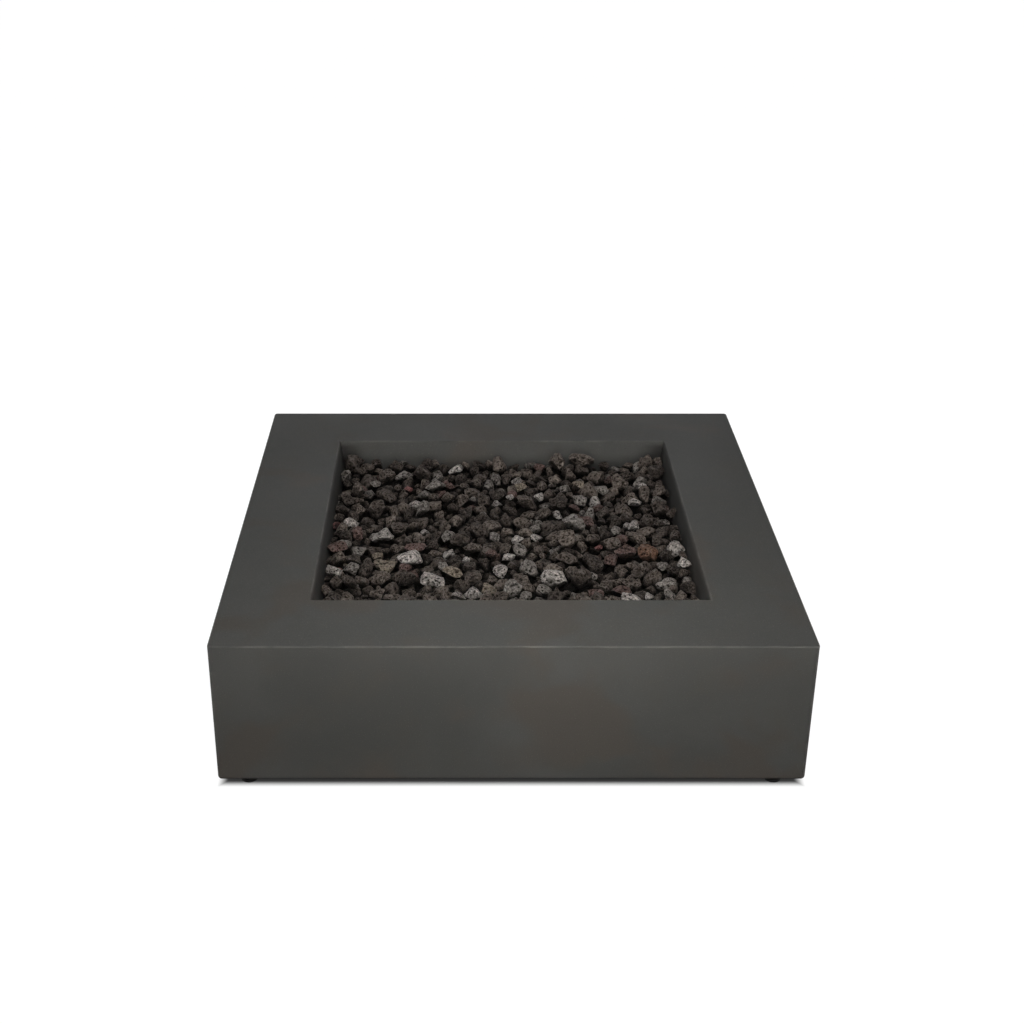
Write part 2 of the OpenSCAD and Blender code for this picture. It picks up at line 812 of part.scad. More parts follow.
// The control tray

module at_tray_screws() {
    for (sx = [-1, 1], sz = [-1, 1])
        translate([sx * (window_w / 2 + tray_flange / 2 + tray_sheet / 2), 0,
            z_control + sz * (window_h / 2 - tray_flange / 2)]) children();
}

module control_tray() {
    in_x = window_w / 2;
    in_z = window_h / 2;
    color(pan_black) difference() {
        union() {
            box(-in_x - tray_flange, in_x + tray_flange, y_skirt - tray_sheet, y_skirt,
                z_control - in_z - tray_flange, z_control + in_z + tray_flange);
            box(-in_x - tray_sheet, in_x + tray_sheet, y_back, y_skirt,
                z_control - in_z - tray_sheet, z_control + in_z + tray_sheet);
        }
        box(-in_x, in_x, y_face, y_skirt + over, z_control - in_z, z_control + in_z);
        along_y(0, y_back - over, z_control)
            cylinder(d = neck_d + 2 * hole_gap, h = tray_sheet + 2 * over);
        along_y(control_pitch, y_back - over, z_control)
            cylinder(d = igniter_neck_d + 2 * hole_gap, h = tray_sheet + 2 * over);
        along_y(-control_pitch, y_back - over, z_control)
            cylinder(d = inlet_d + 2 * hole_gap, h = tray_sheet + 2 * over);
        at_tray_screws() along_y(0, y_skirt - tray_sheet - over, 0)
            cylinder(d = screw_d + 2 * hole_gap, h = tray_sheet + 2 * over);
    }
}

module tray_screws() {
    head_t = 3;
    color(steel_grey) at_tray_screws() {
        along_y(0, y_skirt - tray_sheet - head_t, 0) cylinder(d = 2 * screw_d, h = head_t);
        along_y(0, y_skirt - tray_sheet - head_t, 0)
            cylinder(d = screw_d, h = head_t + tray_sheet + screw_in - over);
    }
}

// The valve

module gas_valve() {
    half = valve_w / 2;
    port_boss = 8;
    color(brass_yellow) difference() {
        union() {
            box(-half, half, y_valve_end, y_body, z_control - half, z_control + half);
            along_y(0, y_spigot, z_control) cylinder(d = spigot_d, h = spigot_l + over);
            translate([-half - port_boss, y_port, z_control]) rotate([0, 90, 0])
                cylinder(d = spigot_d, h = port_boss + over);
            translate([0, y_probe_boss, z_control + half - over])
                cylinder(d = probe_boss_d, h = probe_boss_h + over);
        }
        along_y(0, y_body - plug_l - 2 * spare, z_control)
            cylinder(d = plug_d + 2 * running, h = plug_l + 2 * spare + over);
        along_y(0, y_spigot - over, z_control) cylinder(d = passage_d, h = spigot_l + valve_l);
        translate([-half - port_boss - over, y_port, z_control]) rotate([0, 90, 0])
            cylinder(d = passage_d, h = half + port_boss + over);
    }
}

module valve_bonnet() {
    color(brass_yellow) difference() {
        union() {
            along_y(0, y_body, z_control) cylinder(d = bonnet_d, h = bonnet_t);
            along_y(0, y_body, z_control) cylinder(d = neck_d, h = y_neck - y_body);
        }
        along_y(0, y_body - over, z_control)
            cylinder(d = stem_d + 2 * running, h = y_neck - y_body + 2 * over);
    }
}

module valve_nut() {
    color(steel_grey) along_y(0, y_face, z_control) difference() {
        hexagon(neck_nut_af, neck_nut_t);
        translate([0, 0, -over]) cylinder(d = neck_d + 2 * screw_fit, h = neck_nut_t + 2 * over);
    }
}

// The plug turns in the valve's body: its cross hole meets the gas port a quarter turn on
module valve_plug() {
    slot_w = tang_t + 2 * screw_fit;
    color(brass_yellow) difference() {
        along_y(0, y_plug - plug_l, z_control) cylinder(d = plug_d, h = plug_l);
        box(-plug_d, plug_d, y_slot, y_plug + over, z_control - slot_w / 2, z_control + slot_w / 2);
        along_y(0, y_plug - plug_l - over, z_control)
            cylinder(d = passage_d, h = y_port - y_plug + plug_l + over);
        translate([0, y_port, z_control - plug_d]) cylinder(d = passage_d, h = plug_d);
    }
}

module stem_flat(depth, y0, y1) {
    box(-stem_d, stem_d, y0, y1, z_control + stem_d / 2 - depth, z_control + stem_d);
}

flat_depth = 1.2;

module valve_stem() {
    y_round = y_body + press_travel;
    y_tang = y_slot + press_travel + spare;
    color(steel_grey) {
        difference() {
            along_y(0, y_round, z_control) cylinder(d = stem_d, h = y_stem - y_round);
            stem_flat(flat_depth, y_hub, y_stem + over);
        }
        box(-tang_w / 2, tang_w / 2, y_tang, y_round + over, z_control - tang_t / 2, z_control + tang_t / 2);
    }
}

module control_knob() {
    flute_d = 7;
    mark_w = 2.4;
    mark_deep = 0.8;
    bore_d = stem_d + 2 * running;
    hollow_l = knob_h - knob_face;
    color(plastic_black) difference() {
        along_y(0, y_knob, z_control) difference() {
            rotate_extrude() polygon(concat(
                [[0, 0], [knob_d / 2, 0]],
                arc(knob_d / 2 - 4, knob_h - 3, 3, 0, 90, 6),
                [[0, knob_h]]));
            difference() {
                translate([0, 0, -over])
                    cylinder(d = knob_d - 2 * knob_wall - flute_d / 2, h = hollow_l + over);
                translate([0, 0, y_hub - y_knob]) cylinder(d = knob_hub_d, h = hollow_l);
            }
            for (k = [0:knob_flutes - 1]) rotate(360 * (k + 0.5) / knob_flutes)
                translate([knob_d / 2 + flute_d / 4, 0, 3]) cylinder(d = flute_d, h = knob_h);
        }
        difference() {
            along_y(0, y_hub - over, z_control) cylinder(d = bore_d, h = y_stem - y_hub + over);
            stem_flat(flat_depth - running, y_hub - 2 * over, y_stem + over);
        }
        box(-mark_w / 2, mark_w / 2, y_knob_face - mark_deep, y_knob_face + over,
            z_control + knob_hub_d / 2, z_control + knob_d / 2 - 4);
    }
}

// The gas inlet

module gas_inlet() {
    thread_end = inlet_hex_t + inlet_l;
    color(brass_yellow) difference() {
        union() {
            along_y(-control_pitch, y_face, z_control) {
                hexagon(inlet_af, inlet_hex_t);
                cylinder(d = inlet_d, h = thread_end);
                translate([0, 0, thread_end]) cylinder(d1 = inlet_d - 2, d2 = flare_d, h = flare_l);
            }
            along_y(-control_pitch, y_inlet_back, z_control)
                cylinder(d = inlet_d, h = y_face - y_inlet_back + over);
        }
        along_y(-control_pitch, y_inlet_back - over, z_control)
            cylinder(d = inlet_bore, h = y_face - y_inlet_back + thread_end + flare_l + 2 * over);
    }
}

module inlet_nut() {
    color(brass_yellow) along_y(-control_pitch, y_back - inlet_hex_t, z_control) difference() {
        hexagon(inlet_af, inlet_hex_t);
        translate([0, 0, -over]) cylinder(d = inlet_d + 2 * screw_fit, h = inlet_hex_t + 2 * over);
    }
}

// The pipe leaves the inlet towards the front and turns into the valve's side
module inlet_pipe() {
    port_boss = 8;
    x_port = -valve_w / 2 - port_boss;
    x_bend = -control_pitch + pipe_bend;
    y_bend = y_port + pipe_bend;
    color(copper_red) translate([0, 0, z_control]) {
        along_y(-control_pitch, y_bend, 0) cylinder(d = pipe_d, h = y_inlet_back - y_bend);
        translate([x_bend, y_bend, 0]) rotate(180) rotate_extrude(angle = 90)
            translate([pipe_bend, 0]) circle(d = pipe_d);
        translate([x_bend, y_port, 0]) rotate([0, 90, 0]) cylinder(d = pipe_d, h = x_port - x_bend);
    }
}

// The igniter

module igniter_body() {
    shoulder_t = 4;
    well_l = 9;
    color(plastic_black) difference() {
        union() {
            along_y(control_pitch, y_barrel_end, z_control) cylinder(d = barrel_d, h = barrel_l);
            along_y(control_pitch, y_back - shoulder_t, z_control) cylinder(d = shoulder_d, h = shoulder_t);
            along_y(control_pitch, y_back - over, z_control)
                cylinder(d = igniter_neck_d, h = y_igniter_neck - y_back + over);
            along_y(control_pitch, y_terminal, z_control) cylinder(d = spark_lead_d + 4, h = terminal_l + over);
        }
        along_y(control_pitch, y_igniter_neck - well_l, z_control)
            cylinder(d = retainer_d + spare, h = well_l + over);
        along_y(control_pitch, y_battery(), z_control)
            cylinder(d = battery_d + 2 * hole_gap, h = y_igniter_neck - y_battery());
    }
}

function y_battery() = y_igniter_neck - 13 - battery_l;

module battery() {
    nub = 1.2;
    color(steel_grey) along_y(control_pitch, y_battery(), z_control) {
        cylinder(d = battery_d, h = battery_l - nub);
        cylinder(d = battery_d / 3, h = battery_l);
    }
}

module igniter_nut() {
    color(plastic_black) along_y(control_pitch, y_face, z_control)
        tube(shoulder_d, igniter_neck_d + 2 * screw_fit, ring_nut_t);
}

module igniter_cap() {
    inside = y_igniter_neck + seat_gap - y_cap;
    rim = 1;
    color(plastic_black) along_y(control_pitch, y_cap, z_control) difference() {
        rotate_extrude() polygon([
            [0, 0], [cap_d / 2, 0],
            [cap_d / 2, inside + cap_face - rim], [cap_d / 2 - rim, inside + cap_face],
            [0, inside + cap_face]]);
        translate([0, 0, -over]) cylinder(d = igniter_neck_d + 2 * running, h = inside + over);
        cylinder(d = button_d + 2 * running, h = inside + cap_face + over);
    }
}

module igniter_button() {
    retainer_t = 1.5;
    y_retainer = y_igniter_neck + seat_gap - hole_gap - retainer_t;
    reach = y_cap_face + button_out - y_retainer;
    color("#7a1713") along_y(control_pitch, y_retainer, z_control) {
        cylinder(d = retainer_d, h = retainer_t);
        rotate_extrude() polygon(concat(
            [[0, 0], [button_d / 2, 0]],
            arc(button_d / 2 - 1.5, reach - 1.5, 1.5, 0, 90, 5),
            [[0, reach]]));
    }
}

// The lava rock

// Cells of a bed: a square grid of places, each pushed a little way at random
function bed(hx, hy, pitch, seed) =
    let (
        nx = max(2, floor(2 * hx / pitch)),
        ny = max(2, floor(2 * hy / pitch)),
        push = rands(-stone_scatter, stone_scatter, 2 * nx * ny, seed)
    )
    [for (i = [0:nx - 1]) [for (j = [0:ny - 1])
        let (k = 2 * (i * ny + j), shift = j % 2 == 0 ? row_shift : -row_shift)
        [(2 * (i + 0.5 + shift + push[k]) / nx - 1) * hx, (2 * (j + 0.5 + push[k + 1]) / ny - 1) * hy]]];

function around(cells, i, j) =
    [for (a = [-1:1], b = [-1:1])
        if ((a != 0 || b != 0) && cells[i + a] != undef && cells[i + a][j + b] != undef) cells[i + a][j + b]];

function beside(cells, i, j) =
    [for (s = [[-1, 0], [1, 0], [0, -1], [0, 1]])
        if (cells[i + s[0]] != undef && cells[i + s[0]][j + s[1]] != undef) cells[i + s[0]][j + s[1]]];

// How far a stone at p may reach along d: half way to its neighbours, and to the walls
function room(p, d, near, hx, hy) = min(concat(
    [for (q = near) let (s = q - p, c = d * unit(s)) if (c > 0.1) (norm(s) - stone_gap) / 2 / c],
    [if (abs(d[0]) > 0.1) (hx - sign(d[0]) * p[0]) / abs(d[0])],
    [if (abs(d[1]) > 0.1) (hy - sign(d[1]) * p[1]) / abs(d[1])]));

// Points of a ring round p, a quarter turn apart, each at a share of its room and its own height
function stone_ring(p, turn, rooms, shares, heights) =
    [for (a = [0:3]) let (d = [cos(turn + 90 * a), sin(turn + 90 * a)])
        [p[0] + d[0] * rooms[a] * shares[a], p[1] + d[1] * rooms[a] * shares[a], heights[a]]];

function mix(a, b, t) = a + (b - a) * t;

// The hull of a stone's points
module stone(points) {
    hull() polyhedron(points, [for (i = [0:len(points) - 3]) [i, i + 1, i + 2]]);
}

// A stone of the top layer meets the stones beside it at points they share
function top_stone(cells, i, j, dice) =
    let (
        p = cells[i][j],
        near = around(cells, i, j),
        turn = mix(20, 70, dice[0]),
        crown = z_stones + stone_h + stone_rise * (2 * dice[1] - 1),
        rooms = [for (a = [0:3])
            room(p, [cos(turn + 90 * a), sin(turn + 90 * a)], near, stone_wall_x, stone_wall_y)]
    )
    concat(
        [for (q = beside(cells, i, j))
            let (
                d = unit(q - p),
                r = min((norm(q - p) - stone_gap) / 2, room(p, d, near, stone_wall_x, stone_wall_y)),
                level = 0.45 + 0.12 * sin(3 * (p[0] + q[0]) + 5 * (p[1] + q[1]))
            )
            [p[0] + d[0] * r, p[1] + d[1] * r, z_stones + level * stone_h]],
        stone_ring(p, turn, rooms, [for (a = [0:3]) mix(0.5, 0.86, dice[2 + a])],
            [for (a = [0:3]) crown - mix(2, 0.4 * stone_h, dice[6 + a])]),
        stone_ring(p, turn, rooms, [for (a = [0:3]) mix(0.62, 0.98, dice[9 - a])],
            [for (a = [0:3]) z_stones + mix(1, 0.3 * stone_h, dice[5 - a])]),
        [
            [p[0] + mix(-6, 6, dice[2]), p[1] + mix(-6, 6, dice[6]), crown],
            [p[0] + mix(-4, 4, dice[3]), p[1] + mix(-4, 4, dice[7]), z_stones]]);

module lava_rocks_top() {
    cells = bed(stone_wall_x, stone_wall_y, stone_pitch, 11);
    draws = 10;
    columns = len(cells[0]);
    dice = rands(0, 1, draws * len(cells) * columns, 23);
    color(stone_grey) for (i = [0:len(cells) - 1], j = [0:columns - 1])
        stone(top_stone(cells, i, j, [for (k = [0:draws - 1]) dice[draws * (i * columns + j) + k]]));
}

// What the lower stones keep clear of: [middle, radius] of the hub and the pilot
low_posts = [
    [[0, 0], hub_d / 2 + spare],
    [[pilot_x, pilot_y], norm([pilot_w, pilot_d]) / 2 + spare]];
low_rings = [ring_outer / 2, ring_inner / 2];
ring_clear = tube_d / 2 + 2 * spare;
arm_clear = arm_d / 2 + 2 * spare;
least_stone = 9;

// Room that the burner leaves a lower stone at p along d
function burner_room(p, d) =
    let (r = norm(p), out = d * p / r)
    min(concat(
        [2 * low_stone_pitch],
        [for (ring = low_rings) if (r > ring && out < -0.1) (r - ring - ring_clear) / -out],
        [for (ring = low_rings) if (r < ring && out > 0.1)
            (ring - ring_clear - pow(low_stone_pitch, 2) / (3 * ring) - r) / out],
        [for (post = low_posts) let (s = p - post[0], c = -(d * unit(s)))
            if (c > 0.1) (norm(s) - post[1]) / c],
        [if (d[1] * p[1] < 0 && abs(d[1]) > 0.1 && abs(p[0]) < ring_outer / 2 + low_stone_pitch)
            (abs(p[1]) - arm_clear) / abs(d[1])]));

function low_rooms(cells, i, j, turn) =
    [for (a = [0:3])
        let (p = cells[i][j], d = [cos(turn + 90 * a), sin(turn + 90 * a)])
        min(room(p, d, around(cells, i, j), low_wall_x, low_wall_y), burner_room(p, d))];

function low_stone(p, turn, rooms, dice) = concat(
    stone_ring(p, turn, rooms, [for (a = [0:3]) mix(0.6, 0.9, dice[a])],
        [for (a = [0:3]) z_low_top - mix(0, 8, dice[3 - a])]),
    stone_ring(p, turn, rooms, [for (a = [0:3]) mix(0.75, 0.98, dice[3 - a])],
        [for (a = [0:3]) z_low + (a == 0 ? 0 : mix(0, 5, dice[a]))]));

module lava_rocks_lower() {
    cells = bed(low_wall_x, low_wall_y, low_stone_pitch, 31);
    draws = 5;
    columns = len(cells[0]);
    dice = rands(0, 1, draws * len(cells) * columns, 47);
    color(stone_dark) for (i = [0:len(cells) - 1], j = [0:columns - 1]) {
        own = [for (k = [0:draws - 1]) dice[draws * (i * columns + j) + k]];
        turn = mix(20, 70, own[4]);
        rooms = low_rooms(cells, i, j, turn);
        if (min(rooms) > least_stone) stone(low_stone(cells[i][j], turn, rooms, own));
    }
}

concrete_shell();
foot_inserts();
foot_pad_fl();
foot_pad_fr();
foot_pad_bl();
foot_pad_br();
foot_stud_fl();
foot_stud_fr();
foot_stud_bl();
foot_stud_br();
burner_pan();
burner_rings();
burner_saddles();
burner_nipple();
pan_locknut();
air_mixer();
air_shutter();
jet_holder();
burner_hose();
hose_nuts();
pilot_hood();
spark_electrode();
spark_lead();
thermocouple();
thermocouple_lead();
control_tray();
tray_screws();
gas_valve();
valve_bonnet();
valve_nut();
valve_plug();
valve_stem();
control_knob();
gas_inlet();
inlet_nut();
inlet_pipe();
igniter_body();
igniter_nut();
igniter_cap();
igniter_button();
battery();
lava_rocks_top();
lava_rocks_lower();
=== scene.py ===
"""Looks of a low square fire pit table: cast concrete, lava rock, burner, gas controls and feet.

Metres, in the part's own frame: +X is right, +Y is the back with the controls, +Z is up.
"""

import json
import math

import bmesh
import bpy
import numpy as np
from mathutils import Euler, Matrix, Vector, noise
from mathutils.bvhtree import BVHTree

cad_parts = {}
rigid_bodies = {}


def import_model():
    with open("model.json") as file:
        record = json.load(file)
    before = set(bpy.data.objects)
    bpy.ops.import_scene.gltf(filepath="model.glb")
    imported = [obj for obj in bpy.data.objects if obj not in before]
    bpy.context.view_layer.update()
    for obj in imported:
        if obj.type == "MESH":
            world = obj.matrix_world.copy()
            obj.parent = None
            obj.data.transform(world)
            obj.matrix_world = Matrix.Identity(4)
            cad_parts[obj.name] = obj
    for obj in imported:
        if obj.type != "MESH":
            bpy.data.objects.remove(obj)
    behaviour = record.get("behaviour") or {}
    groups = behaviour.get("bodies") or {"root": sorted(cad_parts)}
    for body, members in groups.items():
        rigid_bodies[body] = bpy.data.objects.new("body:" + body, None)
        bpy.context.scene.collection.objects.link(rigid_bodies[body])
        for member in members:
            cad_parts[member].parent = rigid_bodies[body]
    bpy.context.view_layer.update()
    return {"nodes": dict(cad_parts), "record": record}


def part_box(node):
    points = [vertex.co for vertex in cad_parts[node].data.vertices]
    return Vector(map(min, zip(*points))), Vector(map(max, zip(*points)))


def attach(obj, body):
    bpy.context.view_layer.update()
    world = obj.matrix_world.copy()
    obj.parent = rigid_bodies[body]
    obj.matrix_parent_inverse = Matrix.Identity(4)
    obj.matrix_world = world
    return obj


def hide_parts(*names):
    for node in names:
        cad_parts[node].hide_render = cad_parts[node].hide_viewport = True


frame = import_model()
nodes = frame["nodes"]
scene = bpy.context.scene

# Corners and levels taken from the frame
TABLE_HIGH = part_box("concrete_shell")[1]
PAN_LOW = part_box("burner_pan")[0]
Z_RIM = TABLE_HIGH.z
UP = Vector((0, 0, 1))
BACK = Vector((0, 1, 0))

# Half the width of the well's mouth, and how far wear runs in from the casting's edges
WELL_HALF = 0.446
EDGE_WEAR = 0.005

# The bed of lava rock: mean heights of its zones, and where the middle zone ends
BED_LEVEL = 0.292
BED_EDGE_LEVEL = 0.294
BED_SIDE_LEVEL = 0.310
BED_BASE_LEVEL = 0.264
BED_REACH = 0.395
WALL_GAP = 0.016

# How the stones are dropped: seed, width of a grid cell, cells tried for each stone, and small chips last
BED_SEED = 7
BED_CELL = 0.003
BED_TRIES = 14
BED_CHIPS = 150
CHIP_LENGTHS = (0.015, 0.024)
STONE_TILT = 0.55
STONE_ROLL = 10
ACCENT_TILT = 0.4 * STONE_TILT
ACCENT_ROLL = 4
ACCENT_TURNS = 8
COVER_COST = 0.3

# Cells that show a stone from above, cells that a gap is judged over for the painted shade between stones,
# and painted shade towards the side walls
SEEN_CELLS = 8
GAP_CELLS = 11
CROWN_OVER = 0.016
SIDE_SHADE = 0.006
SIDE_FADE = 0.06

# Stone shapes, and the triangles of a shown stone, a hidden stone and a whole piece
SHAPE_SEED = 100
SHAPE_COUNT = 44
SHAPE_FACES = 720
HIDDEN_FACES = 140
PIECE_FACES = 190000

# Edges of a mesh are kept crisp past these angles, in degrees
CASTING_CREASE = 28
STONE_CREASE = 32
TUBE_CREASE = 40
THREAD_CREASE = 75

# The camera that took the photograph
CAMERA_PLACE = (-0.1037, -3.4014, 2.017)
CAMERA_TILT = 64.0
CAMERA_LENS = 53.44
CAMERA_SENSOR = 36.0
CAMERA_SHIFT = 0.0465


# Shader graphs

class Graph:
    """A material's node tree, with short words for the nodes that the finishes are made of."""

    def __init__(self, name):
        self.material = bpy.data.materials.new(name)
        self.material.use_nodes = True
        self.tree = self.material.node_tree
        self.shader = self.tree.nodes["Principled BSDF"]
        self.place = self.add("ShaderNodeTexCoord").outputs["Object"]

    def add(self, kind, sockets=None, **settings):
        node = self.tree.nodes.new(kind)
        for key, value in settings.items():
            setattr(node, key, value)
        for key, value in (sockets or {}).items():
            self.put(node.inputs[key], value)
        return node

    def put(self, socket, value):
        if isinstance(value, bpy.types.NodeSocket):
            self.tree.links.new(value, socket)
        else:
            socket.default_value = value

    def set(self, **values):
        for key, value in values.items():
            self.put(self.shader.inputs[key.replace("_", " ")], value)

    def noise(self, scale, detail=3.0, rough=0.5, place=None, warp=0.0):
        sockets = {"Vector": place or self.place, "Scale": scale, "Detail": detail,
                   "Roughness": rough, "Distortion": warp}
        return self.add("ShaderNodeTexNoise", sockets).outputs["Fac"]

    def cells(self, scale, output="Distance", place=None):
        sockets = {"Vector": place or self.place, "Scale": scale}
        return self.add("ShaderNodeTexVoronoi", sockets).outputs[output]

    def ramp(self, value, start, end, low=0.0, high=1.0):
        sockets = {"Value": value, "From Min": start, "From Max": end, "To Min": low, "To Max": high}
        return self.add("ShaderNodeMapRange", sockets, interpolation_type="SMOOTHSTEP").outputs["Result"]

    def math(self, operation, a, b=0.0):
        return self.add("ShaderNodeMath", {0: a, 1: b}, operation=operation).outputs[0]

    def plus(self, a, b):
        return self.add("ShaderNodeVectorMath", {0: a, 1: b}, operation="ADD").outputs[0]

    def axes(self, vector=None):
        return self.add("ShaderNodeSeparateXYZ", {0: vector or self.place}).outputs

    def far_out(self):
        """Distances from the middle to the right or left, to the front or back, and the larger of them."""
        across, along = (self.math("ABSOLUTE", self.axes()[k]) for k in ("X", "Y"))
        return across, along, self.math("MAXIMUM", across, along)

    def mix(self, factor, a, b, blend="MIX"):
        node = self.add("ShaderNodeMix", data_type="RGBA", blend_type=blend)
        for index, value in ((0, factor), (6, a), (7, b)):
            self.put(node.inputs[index], value)
        return node.outputs[2]

    def attribute(self, name, output="Fac"):
        return self.add("ShaderNodeAttribute", attribute_name=name).outputs[output]

    def stretch(self, scale, place=None):
        return self.add("ShaderNodeMapping", {"Vector": place or self.place, "Scale": scale}).outputs[0]

    def bump(self, height, distance, strength=1.0, under=None):
        sockets = {"Height": height, "Distance": distance, "Strength": strength}
        if under:
            sockets["Normal"] = under
        return self.add("ShaderNodeBump", sockets).outputs["Normal"]


def rgb(red, green, blue):
    """A colour given as the eight-bit numbers that a screen shows."""
    shown = [c / 255 for c in (red, green, blue)]
    linear = [c / 12.92 if c <= 10 / 255 else ((c + 0.055) / 1.055) ** 2.4 for c in shown]
    return (*linear, 1.0)


# Finishes

def concrete_finish():
    """Charcoal glass-fibre concrete: soft clouds, sandy speckle, pinholes darkened with painted shade, a
    painted highlight along its edges and painted shade in its well.
    """
    g = Graph("cast_concrete")
    clouds = g.noise(2.6, 5.0, 0.55, warp=0.6)
    stains = g.noise(9.0, 6.0, 0.6)
    sand = g.noise(420.0, 2.0, 0.6)
    grit = g.noise(1300.0, 1.0, 0.5)
    holes = g.cells(70.0)
    chance = g.cells(70.0, output="Color")
    colour = g.mix(g.ramp(clouds, 0.32, 0.68), rgb(69, 69, 68), rgb(77, 77, 76))
    warm = g.noise(4.2, 3.0, 0.5, warp=0.4)
    colour = g.mix(g.ramp(warm, 0.5, 0.64, 0.0, 0.75), colour, rgb(76, 71, 67))
    colour = g.mix(g.ramp(stains, 0.45, 0.75, 0.0, 0.35), colour, rgb(76, 73, 68))
    colour = g.mix(g.ramp(stains, 0.5, 0.25, 0.0, 0.3), colour, rgb(67, 68, 66))
    colour = g.mix(g.ramp(sand, 0.6, 0.78, 0.0, 0.6), colour, rgb(116, 113, 106))
    colour = g.mix(g.ramp(sand, 0.4, 0.24, 0.0, 0.5), colour, rgb(46, 45, 44))
    # Pinholes: the bump sinks them, and their dark colour is painted shade.
    pinhole = g.math("MULTIPLY", g.ramp(holes, 0.09, 0.05), g.ramp(chance, 0.78, 0.8))
    colour = g.mix(pinhole, colour, rgb(30, 29, 28))
    # Painted highlight: a paler line along the top edges and the upright corners, broken up by the stains.
    edge_highlight = g.math("MULTIPLY", painted_edge_highlight(g), g.ramp(stains, 0.38, 0.66, 0.0, 0.5))
    colour = g.mix(edge_highlight, colour, rgb(108, 107, 103))
    # Painted shade in the well: its upright corners, low down by the stones and its side walls.
    colour = g.mix(painted_well_shade(g, stains), colour, rgb(24, 23, 22))
    g.set(Base_Color=colour, Roughness=g.ramp(clouds, 0.3, 0.7, 0.66, 0.8), Specular_IOR_Level=0.35)
    grain = g.bump(g.math("ADD", sand, g.math("MULTIPLY", grit, 0.6)), 0.0005, 0.35)
    g.set(Normal=g.bump(pinhole, -0.0012, 0.7, grain))
    return g.material


def painted_edge_highlight(g):
    """Mask of the painted highlight: one along the casting's outer edges and the mouth of its well, and
    nought elsewhere.
    """
    across, along, out = g.far_out()
    rim = g.ramp(g.axes()["Z"], Z_RIM - EDGE_WEAR, Z_RIM - EDGE_WEAR / 3)
    outer = g.ramp(out, TABLE_HIGH.x - EDGE_WEAR, TABLE_HIGH.x - EDGE_WEAR / 3)
    mouth = g.ramp(g.math("ABSOLUTE", g.math("SUBTRACT", out, WELL_HALF)), EDGE_WEAR, EDGE_WEAR / 3)
    corner = g.math("MULTIPLY", g.ramp(across, TABLE_HIGH.x - 2 * EDGE_WEAR, TABLE_HIGH.x - EDGE_WEAR / 2),
                    g.ramp(along, TABLE_HIGH.y - 2 * EDGE_WEAR, TABLE_HIGH.y - EDGE_WEAR / 2))
    top = g.math("MULTIPLY", rim, g.math("MAXIMUM", outer, mouth))
    return g.math("MAXIMUM", top, g.math("MULTIPLY", corner, 0.6))


def painted_well_shade(g, stains):
    """Painted shade in the fire well: darkest in its upright corners, low down by the stones and on its
    side walls, broken up by the stains.
    """
    across, along, out = g.far_out()
    height = g.axes()["Z"]
    in_mouth = g.ramp(out, WELL_HALF, WELL_HALF - 0.003)
    inside = g.math("MULTIPLY", in_mouth, g.ramp(height, Z_RIM, Z_RIM - 0.02))
    corner = g.ramp(g.math("ABSOLUTE", g.math("SUBTRACT", across, along)), 0.075, 0.0, 0.0, 0.75)
    low = g.ramp(height, Z_RIM - 0.03, BED_LEVEL, 0.0, 0.3)
    sides = g.ramp(g.math("SUBTRACT", across, along), -0.02, 0.1, 0.0, 0.52)
    # Mask of the painted shade: the darkest of the corners, the low band and the side walls.
    soot = g.math("MAXIMUM", corner, g.math("MAXIMUM", low, sides))
    return g.math("MULTIPLY", g.math("MULTIPLY", inside, soot), g.ramp(stains, 0.25, 0.6, 0.75, 1.0))


